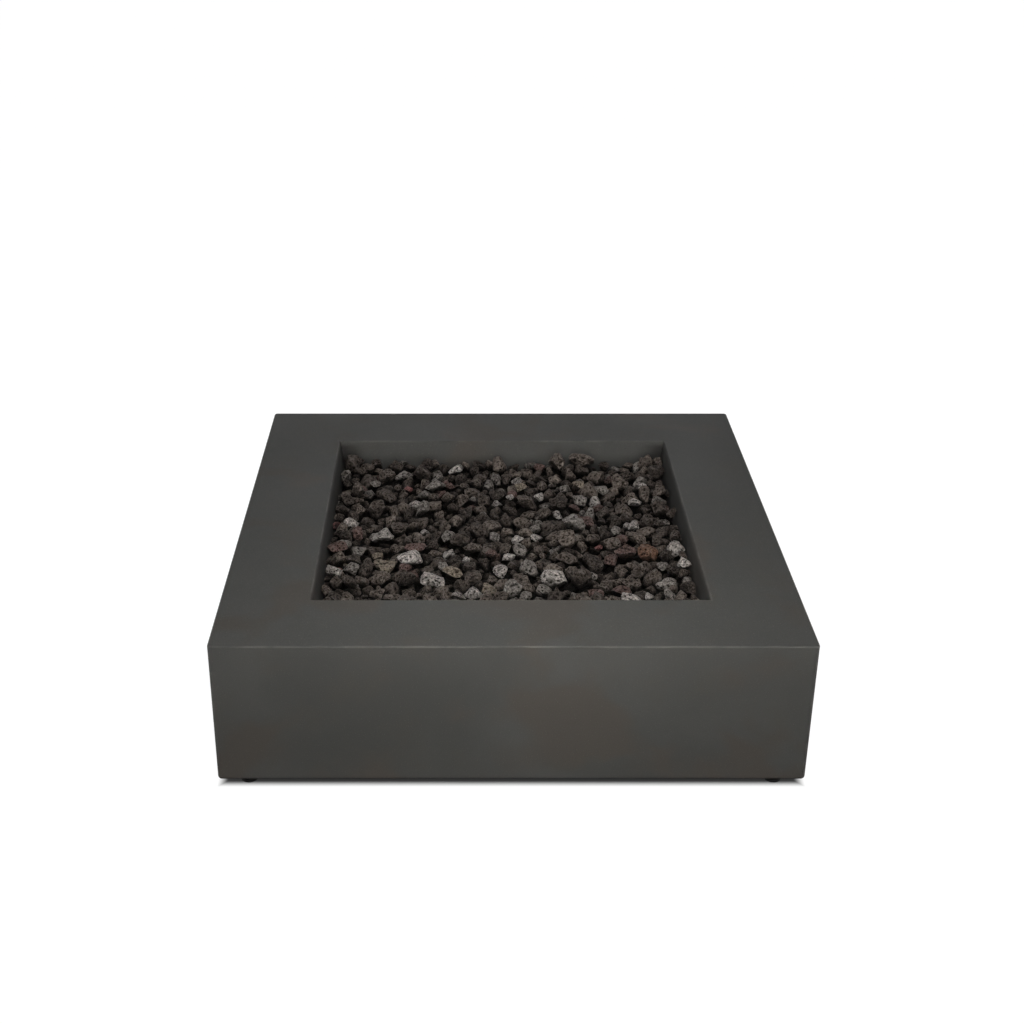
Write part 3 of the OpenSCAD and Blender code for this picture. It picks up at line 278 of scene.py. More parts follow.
def lava_finish():
    """Lava rock: a tint for each stone, crumbly light and dark, pale-rimmed pits darkened with painted
    shade, painted glints, a painted highlight on edges, and painted shade in creases, on undersides and low
    between the stones.
    """
    g = Graph("lava_rock")
    tint = g.attribute("tint", "Color")
    open_pits = g.attribute("pits")
    own = g.plus(g.place, g.attribute("shift", "Vector"))
    crumb = g.noise(190.0, 5.0, 0.68, own)
    patch = g.noise(48.0, 4.0, 0.55, own)
    sway = g.add("ShaderNodeTexNoise", {"Vector": own, "Scale": 210.0, "Detail": 2.0}).outputs["Color"]
    large = g.cells(215.0, place=g.plus(own, g.stretch((0.005, 0.005, 0.005), sway)))
    small = g.cells(460.0, place=own)
    wide_pit = g.math("MULTIPLY", g.ramp(large, 0.46, 0.24), g.ramp(patch, 0.36, 0.52))
    pit = g.math("MAXIMUM", wide_pit, g.ramp(small, 0.4, 0.2, 0.0, 0.85))
    shade = g.mix(g.ramp(crumb, 0.28, 0.72), (0.22, 0.21, 0.20, 1.0), (2.57, 2.57, 2.6, 1.0))
    colour = g.mix(1.0, tint, shade, "MULTIPLY")
    colour = g.mix(g.ramp(patch, 0.52, 0.78, 0.0, 0.4), colour, g.mix(0.55, tint, rgb(132, 123, 117)))
    rim = g.math("MULTIPLY", g.ramp(large, 0.42, 0.5), g.ramp(large, 0.66, 0.54))
    colour = g.mix(g.math("MULTIPLY", rim, 0.26), colour, g.mix(0.6, tint, rgb(168, 159, 154)))
    # Painted glints: pale specks that stand for tiny highlights.
    painted_glints = g.noise(800.0, 2.0, 0.5, own)
    colour = g.mix(g.ramp(painted_glints, 0.66, 0.72, 0.0, 0.5), colour, rgb(172, 163, 158))
    hollow = g.attribute("hollow")
    # Painted highlight on the stones' sharp edges and painted shade in their creases.
    colour = g.mix(g.ramp(hollow, -0.3, -1.7, 0.0, 0.72), colour, g.mix(0.35, tint, rgb(180, 171, 165)))
    colour = g.mix(g.ramp(hollow, 0.1, 1.3, 0.0, 0.9), colour, rgb(13, 9, 6))
    # Painted shade in the pits: the bump sinks them, and the dark colour stands for the shade inside.
    colour = g.mix(g.math("MULTIPLY", pit, open_pits), colour, g.mix(0.3, rgb(14, 10, 7), tint))
    # Painted shade on the stones' undersides.
    upward = g.axes(g.add("ShaderNodeNewGeometry").outputs["Normal"])["Z"]
    colour = g.mix(g.ramp(upward, 0.35, -0.35, 0.0, 0.85), colour, rgb(12, 9, 7))
    # Painted shade low in the bed, between the stones and towards the side walls.
    colour = g.mix(g.ramp(g.attribute("depth"), -0.009, 0.008, 0.0, 0.97), colour, rgb(7, 5, 4))
    g.set(Base_Color=colour, Roughness=g.ramp(crumb, 0.3, 0.7, 0.6, 0.9), Specular_IOR_Level=0.15)
    rough = g.bump(crumb, 0.005, 1.0)
    g.set(Normal=g.bump(pit, -0.004, 1.0, rough))
    return g.material


def metal_finish(name, colour, stain, rough, lines=(1.0, 1.0, 1.0), line_strength=0.12):
    """A worn metal: uneven stain, fine drawn or turned lines and smudges in the gloss."""
    g = Graph(name)
    patches = g.noise(38.0, 5.0, 0.6)
    fine = g.noise(900.0, 3.0, 0.6, g.stretch(lines))
    smudge = g.noise(120.0, 4.0, 0.6)
    base = g.mix(g.ramp(patches, 0.42, 0.72, 0.0, 0.8), colour, stain)
    base = g.mix(g.ramp(fine, 0.3, 0.7, 0.0, 0.25), base, g.mix(0.5, colour, (0.02, 0.02, 0.02, 1.0)))
    g.set(Base_Color=base, Metallic=1.0, Roughness=g.ramp(smudge, 0.3, 0.7, rough - 0.1, rough + 0.12))
    g.set(Normal=g.bump(fine, 0.0004, line_strength))
    return g.material


def burner_finish():
    """Stainless tube that has been hot: straw, brown and blue bands over drawn lines, with soot."""
    g = Graph("heat_tinted_stainless")
    heat = g.noise(16.0, 4.0, 0.55, warp=0.8)
    fine = g.noise(700.0, 3.0, 0.6, g.stretch((1.0, 1.0, 0.15)))
    soot = g.noise(52.0, 5.0, 0.65)
    base = g.mix(g.ramp(heat, 0.35, 0.5), rgb(84, 82, 80), rgb(74, 62, 47))
    base = g.mix(g.ramp(heat, 0.5, 0.6), base, rgb(54, 42, 39))
    base = g.mix(g.ramp(heat, 0.62, 0.72), base, rgb(40, 43, 53))
    base = g.mix(g.ramp(soot, 0.42, 0.68, 0.0, 0.85), base, rgb(24, 22, 21))
    g.set(Base_Color=base, Metallic=1.0, Roughness=g.ramp(soot, 0.35, 0.7, 0.3, 0.62))
    g.set(Normal=g.bump(fine, 0.0004, 0.12))
    return g.material


def enamel_finish():
    """Black stoved enamel: orange peel, pale specks, dust and scuffs through to the primer."""
    g = Graph("black_enamel")
    peel = g.noise(480.0, 2.0, 0.5)
    dust = g.noise(22.0, 6.0, 0.6)
    specks = g.cells(260.0)
    scuff = g.noise(70.0, 5.0, 0.7, g.stretch((1.0, 1.0, 4.0)))
    colour = g.mix(g.ramp(dust, 0.45, 0.78, 0.0, 0.6), rgb(48, 48, 49), rgb(66, 64, 61))
    colour = g.mix(g.ramp(specks, 0.12, 0.06, 0.0, 0.6), colour, rgb(104, 101, 96))
    colour = g.mix(g.ramp(scuff, 0.68, 0.76, 0.0, 0.5), colour, rgb(92, 90, 88))
    g.set(Base_Color=colour, Roughness=g.ramp(dust, 0.35, 0.7, 0.38, 0.62), Specular_IOR_Level=0.45)
    g.set(Normal=g.bump(peel, 0.0005, 0.25))
    return g.material


def moulded_finish(name, colour, worn, rough, grain):
    """A moulded plastic or rubber: spark-eroded grain, dust in the lows and handling marks."""
    g = Graph(name)
    pebble = g.noise(grain, 2.0, 0.55)
    dust = g.noise(45.0, 5.0, 0.6)
    marks = g.noise(240.0, 4.0, 0.7, g.stretch((1.0, 0.3, 2.0)))
    base = g.mix(g.ramp(dust, 0.45, 0.8, 0.0, 0.7), colour, worn)
    base = g.mix(g.ramp(marks, 0.7, 0.8, 0.0, 0.4), base, worn)
    g.set(Base_Color=base, Specular_IOR_Level=0.4)
    g.set(Roughness=g.ramp(dust, 0.3, 0.7, rough - 0.08, rough + 0.1))
    g.set(Normal=g.bump(pebble, 0.0004, 0.3))
    return g.material


def porcelain_finish():
    """Cream glazed ceramic with faint speckle and heat staining."""
    g = Graph("porcelain")
    stain = g.noise(110.0, 4.0, 0.6)
    specks = g.cells(900.0)
    colour = g.mix(g.ramp(stain, 0.5, 0.8, 0.0, 0.8), rgb(226, 220, 205), rgb(168, 142, 108))
    colour = g.mix(g.ramp(specks, 0.14, 0.08, 0.0, 0.5), colour, rgb(120, 100, 80))
    g.set(Base_Color=colour, Roughness=g.ramp(stain, 0.3, 0.7, 0.18, 0.34), Coat_Weight=0.3)
    g.set(Normal=g.bump(stain, 0.0004, 0.15))
    return g.material


def dress_frame():
    """Gives every shown node of the frame the finish of its material slot."""
    for row in frame["record"]["subparts"]:
        mesh = nodes[row["node"]].data
        mesh.materials.clear()
        mesh.materials.append(finishes[row["material_slot"]])


def piece(name, mesh, body, slot, *replaced):
    """Puts a mesh in the scene as a piece that rides on a body and stands in for nodes of the frame."""
    made = bpy.data.objects.new(name, mesh)
    scene.collection.objects.link(made)
    if not mesh.materials:
        mesh.materials.append(finishes[slot])
    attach(made, body)
    if replaced:
        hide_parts(*replaced)


class Maker:
    """A geometry node tree with named inputs, which makes plain meshes."""

    def __init__(self, name, inputs):
        self.tree = bpy.data.node_groups.new(name, "GeometryNodeTree")
        face = self.tree.interface
        face.new_socket("Geometry", in_out="OUTPUT", socket_type="NodeSocketGeometry")
        face.new_socket("Geometry", in_out="INPUT", socket_type="NodeSocketGeometry")
        self.keys = {}
        for key, kind in inputs.items():
            socket = face.new_socket(key, in_out="INPUT", socket_type="NodeSocket" + kind)
            self.keys[key] = socket.identifier
        self.given = self.add("NodeGroupInput").outputs

    def add(self, kind, sockets=None, **settings):
        node = self.tree.nodes.new(kind)
        for key, value in settings.items():
            setattr(node, key, value)
        for key, value in (sockets or {}).items():
            if isinstance(value, bpy.types.NodeSocket):
                self.tree.links.new(value, node.inputs[key])
            else:
                node.inputs[key].default_value = value
        return node

    def field(self, name, data_type):
        node = self.add("GeometryNodeInputNamedAttribute", {"Name": name}, data_type=data_type)
        return node.outputs["Attribute"]

    def skin(self, route, sides, radius):
        """A round tube along a curve, closed at its ends."""
        ring = self.add("GeometryNodeCurvePrimitiveCircle", {"Resolution": sides, "Radius": radius})
        tube = self.add("GeometryNodeCurveToMesh", {"Curve": route, "Profile Curve": ring.outputs["Curve"],
                                                    "Fill Caps": True})
        return tube.outputs["Mesh"]

    def end(self, geometry):
        real = self.add("GeometryNodeRealizeInstances", {"Geometry": geometry})
        dress = self.add("GeometryNodeSetMaterial", {"Geometry": real.outputs["Geometry"],
                                                     "Material": self.given["Finish"]})
        self.add("NodeGroupOutput", {"Geometry": dress.outputs["Geometry"]})

    def make(self, name, mesh, values):
        """The plain mesh that the tree makes from another mesh."""
        made = bpy.data.objects.new(name, mesh)
        scene.collection.objects.link(made)
        modifier = made.modifiers.new(name, "NODES")
        modifier.node_group = self.tree
        for key, value in values.items():
            modifier[self.keys[key]] = value
        plain = plain_mesh(made)
        plain.name = name
        return plain


def plain_mesh(made):
    """The evaluated mesh of an object with live modifiers, whose object is then removed."""
    held = made.data
    mesh = bpy.data.meshes.new_from_object(made.evaluated_get(bpy.context.evaluated_depsgraph_get()))
    bpy.data.objects.remove(made)
    if held.users == 0:
        bpy.data.meshes.remove(held)
    return mesh


def smooth(mesh, angle):
    """Turns a closed mesh's faces outwards and shades it smooth, with edges past this angle kept crisp."""
    turned = bmesh.new()
    turned.from_mesh(mesh)
    bmesh.ops.recalc_face_normals(turned, faces=turned.faces)
    turned.to_mesh(mesh)
    turned.free()
    mesh.shade_smooth()
    mesh.set_sharp_from_angle(angle=math.radians(angle))


# Casting, tubes, threads and the knob's mark

def casting():
    """The casting's own mesh, with its rounded edges shaded smooth and its flat faces kept flat."""
    mesh = nodes["concrete_shell"].data.copy()
    joined = bmesh.new()
    joined.from_mesh(mesh)
    bmesh.ops.remove_doubles(joined, verts=joined.verts, dist=1e-6)
    joined.to_mesh(mesh)
    joined.free()
    if "custom_normal" in mesh.attributes:
        mesh.attributes.remove(mesh.attributes["custom_normal"])
    mesh.shade_smooth()
    mesh.set_sharp_from_angle(angle=math.radians(CASTING_CREASE))
    made = bpy.data.objects.new("casting", mesh)
    scene.collection.objects.link(made)
    even = made.modifiers.new("even", "WEIGHTED_NORMAL")
    even.keep_sharp = True
    piece("concrete_casting", plain_mesh(made), "table", "concrete", "concrete_shell")


TUBE_SIDES = 24
BEND_STEPS = 24
TUBES = {
    # name: node it stands for, slot, diameter, bend radius and corner points in millimetres
    "smooth_hose": ("burner_hose", "hose_rubber", 12.0, 58.0,
                    [(0, 0, 129), (0, 0, 51), (0, 339, 51), (0, 437, 130), (0, 515, 130)]),
    "smooth_spark_lead": ("spark_lead", "hose_rubber", 4.0, 14.0,
                          [(52, 225, 218), (52, 225, 190), (80, 436, 190), (80, 492, 130), (80, 520, 130)]),
    "smooth_probe_lead": ("thermocouple_lead", "copper", 3.0, 14.0,
                          [(28, 225, 218), (28, 225, 190), (0, 535, 190), (0, 535, 158)]),
}


def rounded_route(corners, radius, steps):
    """The corner points, with every inner corner replaced by an arc."""
    corners = [Vector(c) for c in corners]
    route = [corners[0]]
    for a, b, c in zip(corners, corners[1:], corners[2:]):
        u, v = (a - b).normalized(), (c - b).normalized()
        half = u.angle(v) / 2
        middle = b + (u + v).normalized() * radius / math.sin(half)
        start = b + u * radius / math.tan(half) - middle
        side = (v - u).normalized()
        side = (side - start * (side.dot(start) / radius ** 2)).normalized()
        for k in range(steps + 1):
            turn = (math.pi - 2 * half) * k / steps
            route.append(middle + start * math.cos(turn) + side * radius * math.sin(turn))
    return route + [corners[-1]]


def tubes():
    """The hose and the two leads as smooth tubes along the routes of the part's source."""
    maker = Maker("tube_on_route", {"Radius": "Float", "Sides": "Int", "Finish": "Material"})
    line = maker.add("GeometryNodeMeshToCurve", {"Mesh": maker.given["Geometry"]})
    maker.end(maker.skin(line.outputs["Curve"], maker.given["Sides"], maker.given["Radius"]))
    for name, (node, slot, diameter, bend, corners) in TUBES.items():
        points = [p / 1000 for p in rounded_route(corners, bend, BEND_STEPS)]
        route = bpy.data.meshes.new(name + "_route")
        route.from_pydata(points, [(k, k + 1) for k in range(len(points) - 1)], [])
        mesh = maker.make(name, route, {"Radius": diameter / 2000, "Sides": TUBE_SIDES,
                                        "Finish": finishes[slot]})
        smooth(mesh, TUBE_CREASE)
        piece(name, mesh, "table", slot, node)


# Screw threads: slot, radius, length, pitch, the ridge's height, and the first turn's distance from the end
INLET_THREAD = ("brass", 0.00795, 0.013, 0.0014, 0.00022, 0.0185)
STUD_THREAD = ("zinc_steel", 0.006, 0.026, 0.00175, 0.00015, 0.027)
RIDGE_SHARE = 0.4
RIDGE_SIDES = 6
STEPS_A_TURN = 28


def threads():
    """Screw threads on the gas inlet and on the studs of the feet."""
    maker = Maker("screw_thread", {"Turns": "Float", "Radius": "Float", "Length": "Float", "Ridge": "Float",
                                   "Finish": "Material"})
    given = maker.given
    coil = maker.add("GeometryNodeCurveSpiral", {
        "Resolution": STEPS_A_TURN, "Rotations": given["Turns"], "Start Radius": given["Radius"],
        "End Radius": given["Radius"], "Height": given["Length"], "Reverse": True})
    maker.end(maker.skin(coil.outputs["Curve"], RIDGE_SIDES, given["Ridge"]))
    rods = [("inlet_thread", "table", "gas_inlet", BACK, INLET_THREAD)]
    for corner in ("fl", "fr", "bl", "br"):
        stud = "foot_stud_" + corner
        rods.append(("stud_thread_" + corner, stud, stud, UP, STUD_THREAD))
    for name, body, node, along, (slot, radius, length, pitch, proud, start) in rods:
        low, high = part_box(node)
        middle = (low + high) / 2
        base = middle + along * ((high - middle).dot(along) - start)
        ridge = RIDGE_SHARE * pitch
        mesh = maker.make(name, bpy.data.meshes.new(name), {
            "Turns": length / pitch, "Radius": radius + proud - ridge, "Length": length, "Ridge": ridge,
            "Finish": finishes[slot]})
        mesh.transform(Matrix.Translation(base) @ UP.rotation_difference(along).to_matrix().to_4x4())
        smooth(mesh, THREAD_CREASE)
        piece(name, mesh, body, slot)


# The knob's bar: size, rounding of its edges, depth below the face and height above the middle
MARK_SIZE = (0.0022, 0.0008, 0.0101)
MARK_ROUNDING = 0.0002
MARK_SUNK = 0.0005
MARK_ABOVE = 0.01275


def knob_mark():
    """The coloured bar in the knob's slot."""
    low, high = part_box("control_knob")
    centre = (low + high) / 2
    bar = bmesh.new()
    bmesh.ops.create_cube(bar, size=1.0)
    bmesh.ops.scale(bar, verts=bar.verts, vec=MARK_SIZE)
    bmesh.ops.bevel(bar, geom=bar.edges, offset=MARK_ROUNDING, segments=2, affect="EDGES")
    bmesh.ops.translate(bar, verts=bar.verts, vec=(centre.x, high.y - MARK_SUNK, centre.z + MARK_ABOVE))
    mark = bpy.data.meshes.new("knob_mark")
    bar.to_mesh(mark)
    bar.free()
    piece("knob_mark", mark, "knob", "red_plastic")


# Lava rock

STONE_KINDS = {
    # kind: share of the loose fill, two tints that its stones lie between, how dark the painted shade in
    # its pits is
    "basalt": (0.84, (54, 48, 45), (116, 106, 99), 0.9),
    "cinder": (0.075, (118, 113, 109), (152, 146, 141), 0.8),
    "pumice": (0.04, (160, 154, 150), (194, 188, 184), 0.75),
    "scoria": (0.04, (88, 70, 66), (116, 94, 90), 0.9),
    "tuff": (0.005, (126, 116, 104), (146, 134, 119), 0.95),
    "rust": (0.0, (120, 90, 74), (126, 95, 78), 0.8),
    "ember": (0.0, (126, 84, 82), (140, 94, 92), 0.7),
}

# Stones that stand out: kind, place to the right of and behind the middle, length, all in millimetres
ACCENT_STONES = [
    ("pumice", -273, 348, 50), ("pumice", -127, 374, 52), ("cinder", -177, 258, 55),
    ("pumice", -244, 191, 38), ("cinder", -351, 290, 34), ("pumice", -372, 240, 34),
    ("ember", -246, 271, 28), ("pumice", -24, 173, 30), ("pumice", 6, 209, 30), ("cinder", -5, 335, 44),
    ("cinder", 41, 328, 32), ("tuff", 58, 265, 36), ("pumice", 101, 215, 32), ("pumice", 138, 119, 36),
    ("pumice", 228, 191, 42), ("tuff", 213, 240, 38), ("cinder", 269, 246, 48),
    ("pumice", 353, 155, 48), ("cinder", 408, 50, 36), ("pumice", 331, 21, 38), ("cinder", 286, -7, 36),
    ("pumice", 78, -18, 36), ("pumice", 39, -51, 32), ("cinder", -20, -29, 38),
    ("cinder", -140, -23, 46), ("pumice", -294, -23, 58), ("cinder", -362, -93, 50),
    ("ember", -414, 21, 36), ("scoria", -232, -83, 56), ("tuff", -299, -182, 70),
    ("tuff", -119, -212, 52), ("pumice", -185, -237, 66), ("scoria", -39, -99, 32),
    ("pumice", -11, -182, 58), ("cinder", 49, -192, 66), ("pumice", 17, -136, 36),
    ("pumice", 118, -237, 68), ("basalt", 132, -162, 62), ("ember", 216, -61, 22),
    ("scoria", 297, -99, 54), ("rust", 341, -120, 64), ("scoria", 254, -146, 48),
    ("scoria", 263, -277, 54), ("pumice", 316, -310, 32), ("cinder", 378, -277, 54),
    ("pumice", -88, -301, 50), ("tuff", -44, -281, 44), ("cinder", -121, -325, 38),
    ("cinder", 25, -320, 38), ("scoria", 205, -301, 40), ("ember", -392, -187, 26),
    ("scoria", 187, 173, 38), ("scoria", 411, 125, 40), ("scoria", -97, 173, 26),
]


# A stone's shape: flat chips cut off a ball, then its swellings, and dents with their width
CHIP_COUNTS = (9, 15)
CHIP_DEPTHS = (0.46, 0.8)
CHIP_STRENGTHS = (0.88, 1.0)
SWELL_WIDE = 0.18
SWELL_LUMPS = 0.075
SWELL_CRUST = 0.045
DENT = (0.14, 0.42)
BITE = (0.075, 0.36)
STONE_WIDTHS = (0.68, 0.95)
STONE_HEIGHTS = (0.55, 0.82)


def hollowed(distance, deep, wide):
    """How far the surface is sunk at this distance from the middle of a dent."""
    return deep * max(0.0, wide - distance) / wide


def stone_shape(seed):
    """Points and faces of one lump of lava: a chipped, dented and swollen ball about one unit long."""
    dice = np.random.default_rng(seed)
    ball = bmesh.new()
    bmesh.ops.create_icosphere(ball, subdivisions=4, radius=1.0)
    points = np.array([v.co for v in ball.verts])
    faces = [[v.index for v in f.verts] for f in ball.faces]
    ball.free()
    for _ in range(dice.integers(*CHIP_COUNTS)):
        way = dice.normal(size=3)
        way /= np.linalg.norm(way)
        past = points @ way - dice.uniform(*CHIP_DEPTHS)
        points -= np.outer(np.where(past > 0, past * dice.uniform(*CHIP_STRENGTHS), 0.0), way)
    home = Vector(dice.uniform(-50, 50, 3))
    swell = []
    for p in points:
        v = Vector(p)
        wide = noise.noise(v * 1.1 + home)
        lumps = noise.fractal(v * 2.6 + home, 0.9, 2.1, 3)
        dents = noise.voronoi(v * 2.3 + home)[0][0]
        bites = noise.voronoi(v * 5.0 - home)[0][0]
        crust = noise.noise(v * 8.0 + home)
        low = hollowed(dents, *DENT) + hollowed(bites, *BITE)
        swell.append(1.0 + SWELL_WIDE * wide + SWELL_LUMPS * lumps + SWELL_CRUST * crust - low)
    points *= np.array(swell)[:, None]
    points *= np.array([1.0, dice.uniform(*STONE_WIDTHS), dice.uniform(*STONE_HEIGHTS)])
    points -= (points.max(0) + points.min(0)) / 2
    return points / np.ptp(points[:, 0]), faces


def thinned(name, points, faces, count):
    """A stone's shape thinned to about count triangles, with a field that tells creases from edges."""
    mesh = bpy.data.meshes.new(name)
    mesh.from_pydata(points.tolist(), [], faces)
    made = bpy.data.objects.new(name, mesh)
    scene.collection.objects.link(made)
    modifier = made.modifiers.new("thin", "DECIMATE")
    modifier.ratio = count / len(faces)
    modifier.use_collapse_triangulate = True
    plain = plain_mesh(made)
    plain.shade_smooth()
    plain.set_sharp_from_angle(angle=math.radians(STONE_CREASE))
    own = np.array([v.co for v in plain.vertices])
    out = np.array([v.normal for v in plain.vertices])
    ends = np.array([e.vertices[:] for e in plain.edges])
    around = np.zeros_like(own)
    joined = np.zeros(len(own))
    for a, b in (ends.T, ends.T[::-1]):
        np.add.at(around, a, own[b])
        np.add.at(joined, a, 1.0)
    hollow = ((around / joined[:, None] - own) * out).sum(axis=1)
    field = plain.attributes.new("hollow", "FLOAT", "POINT")
    field.data.foreach_set("value", (hollow - hollow.mean()) / hollow.std())
    return plain


def bed_floor():
    """Heights of what the stones lie on, on a square grid over the well: pan, burner, pilot and walls."""
    count = int(2 * WELL_HALF / BED_CELL)
    carriers = ["concrete_shell", "burner_pan", "burner_rings", "burner_saddles", "pilot_hood",
                "spark_electrode", "thermocouple"]
    trees = []
    for name in carriers:
        mesh = nodes[name].data
        corners = [v.co for v in mesh.vertices]
        trees.append(BVHTree.FromPolygons(corners, [p.vertices for p in mesh.polygons]))
    heights = np.full((count, count), Z_RIM)
    for i in range(count):
        for j in range(count):
            top = Vector(((i + 0.5) * BED_CELL - WELL_HALF, (j + 0.5) * BED_CELL - WELL_HALF, Z_RIM + 0.01))
            hits = [tree.ray_cast(top, -UP)[0] for tree in trees]
            heights[i, j] = max((hit.z for hit in hits if hit), default=PAN_LOW.z)
    return heights


class Bed:
    """A pile of stones, each dropped where it comes to lie lowest among a few tries and then settled."""

    def __init__(self, shapes):
        self.shapes = shapes
        self.dice = np.random.default_rng(BED_SEED)
        self.heights = bed_floor()
        self.owner = np.full(self.heights.shape, -1)
        self.kept = np.zeros(self.heights.shape)
        self.stones = []
        middles = np.abs((np.arange(len(self.heights)) + 0.5) * BED_CELL - WELL_HALF)
        out = np.maximum(middles[:, None], middles[None, :])
        self.middle = np.argwhere(out < BED_REACH)
        self.edge = np.argwhere((out > BED_REACH) & (out < WELL_HALF - WALL_GAP))
        self.sides = self.edge[middles[self.edge[:, 0]] > BED_REACH]

    def level(self, zone):
        return self.heights[zone[:, 0], zone[:, 1]].mean()

    def footprint(self, shape, turn, length):
        """The undersides and tops of a turned stone over the grid's cells, with its corner cell."""
        points = self.shapes[shape][0] @ np.array(Euler(turn).to_matrix()).T * length
        cells = np.floor(points[:, :2] / BED_CELL).astype(int)
        corner = cells.min(0)
        cells -= corner
        size = cells.max(0) + 1
        under = np.full(size, np.inf)
        over = np.full(size, -np.inf)
        np.minimum.at(under, (cells[:, 0], cells[:, 1]), points[:, 2])
        np.maximum.at(over, (cells[:, 0], cells[:, 1]), points[:, 2])
        return corner, under, over

    def rest(self, under, at):
        """Height of a stone's middle when it lies with its corner cell at this place of the grid."""
        wide, deep = under.shape
        i, j = at
        if i < 0 or j < 0 or i + wide > len(self.heights) or j + deep > len(self.heights):
            return np.inf
        return (self.heights[i:i + wide, j:j + deep] - under).max()

    def settle(self, under, at, reach):
        """Rolls a stone downhill, a cell at a time, for at most reach cells."""
        here, low = at, self.rest(under, at)
        for _ in range(reach):
            around = [(here[0] + a, here[1] + b) for a in (-1, 0, 1) for b in (-1, 0, 1) if a or b]
            lows = [self.rest(under, spot) for spot in around]
            best = int(np.argmin(lows))
            if lows[best] >= low - 1e-5:
                break
            here, low = around[best], lows[best]
        return here, low

    def covered(self, under, at):
        """The share of a stone's cells that would hide one of the stones that stand out."""
        wide, deep = under.shape
        i, j = at
        if i < 0 or j < 0 or i + wide > len(self.kept) or j + deep > len(self.kept):
            return 1.0
        return self.kept[i:i + wide, j:j + deep][np.isfinite(under)].mean()

    def drop(self, kind, length, zone, tilt=STONE_TILT, roll=STONE_ROLL, turns=1, keep=False):
        """Adds one stone, at the best of some turns and cells of a zone: where its top is lowest."""
        tries = []
        for _ in range(turns):
            shape = int(self.dice.integers(len(self.shapes)))
            turn = (*self.dice.normal(0.0, tilt, 2), self.dice.uniform(-math.pi, math.pi))
            corner, under, over = self.footprint(shape, turn, length)
            for start in zone[self.dice.integers(len(zone), size=min(BED_TRIES, len(zone)))]:
                at, height = self.settle(under, tuple(start + corner), roll)
                worth = height + over.max() + COVER_COST * self.covered(under, at)
                tries.append((worth, height, at, shape, turn, corner, under, over))
        _, height, (i, j), shape, turn, corner, under, over = min(tries, key=lambda t: t[0])
        if not np.isfinite(height):
            return
        wide, deep = under.shape
        patch = self.heights[i:i + wide, j:j + deep]
        raised = over + height > patch
        patch[raised] = (over + height)[raised]
        self.owner[i:i + wide, j:j + deep][raised] = len(self.stones)
        self.kept[i:i + wide, j:j + deep][raised] = float(keep)
        middle = [(a - k) * BED_CELL - WELL_HALF for a, k in zip((i, j), corner)]
        _, dark, light, pits = STONE_KINDS[kind]
        blend = self.dice.uniform()
        tint = rgb(*[d + (p - d) * blend for d, p in zip(dark, light)])
        self.stones.append({"place": (*middle, height), "turn": turn, "length": length, "shape": shape,
                            "kind": kind, "tint": tint, "pits": pits * self.dice.uniform(0.6, 1.1),
                            "shift": tuple(self.dice.uniform(-9, 9, 3))})

    def fill(self, zone, level, median, spread, low, high):
        """Drops mixed stones in a zone until its mean height reaches this level."""
        kinds = list(STONE_KINDS)
        shares = np.array([STONE_KINDS[k][0] for k in kinds])
        while self.level(zone) < level:
            length = float(np.clip(median * math.exp(self.dice.normal(0, spread)), low, high))
            self.drop(kinds[self.dice.choice(len(kinds), p=shares / shares.sum())], length, zone)

    def show(self, low, high):
        """Drops the stones that stand out, of these lengths, lying flat in their own places."""
        for kind, right, back, length in ACCENT_STONES:
            if low <= length < high:
                cell = [int((c / 1000 + WELL_HALF) / BED_CELL) for c in (right, back)]
                spot = np.array([cell])
                self.drop(kind, length / 1000, spot, ACCENT_TILT, ACCENT_ROLL, ACCENT_TURNS, keep=True)

    def crown(self):
        """The bed's heights, evened out over about a stone's width."""
        blur = np.ones(GAP_CELLS) / GAP_CELLS
        even = np.minimum(self.heights, BED_LEVEL + CROWN_OVER)
        for axis in (0, 1):
            even = np.apply_along_axis(np.convolve, axis, even, blur, "same")
        return even

    def seen(self):
        """For each stone, how many of the grid's cells show it from above."""
        return np.bincount(self.owner[self.owner >= 0].ravel(), minlength=len(self.stones))


def stone_maker():
    """Geometry nodes that set one of the stone shapes, turned and sized, on every point."""
    maker = Maker("stones_on_points", {"Stone shapes": "Collection", "Finish": "Material"})
    held = maker.add("GeometryNodeCollectionInfo", {
        "Collection": maker.given["Stone shapes"], "Separate Children": True, "Reset Children": True})
    turn = maker.add("FunctionNodeEulerToRotation", {"Euler": maker.field("turn", "FLOAT_VECTOR")})
    place = maker.add("GeometryNodeInstanceOnPoints", {
        "Points": maker.given["Geometry"], "Instance": held.outputs["Instances"], "Pick Instance": True,
        "Instance Index": maker.field("shape", "INT"), "Rotation": turn.outputs["Rotation"],
        "Scale": maker.field("length", "FLOAT")})
    maker.end(place.outputs["Instances"])
    return maker


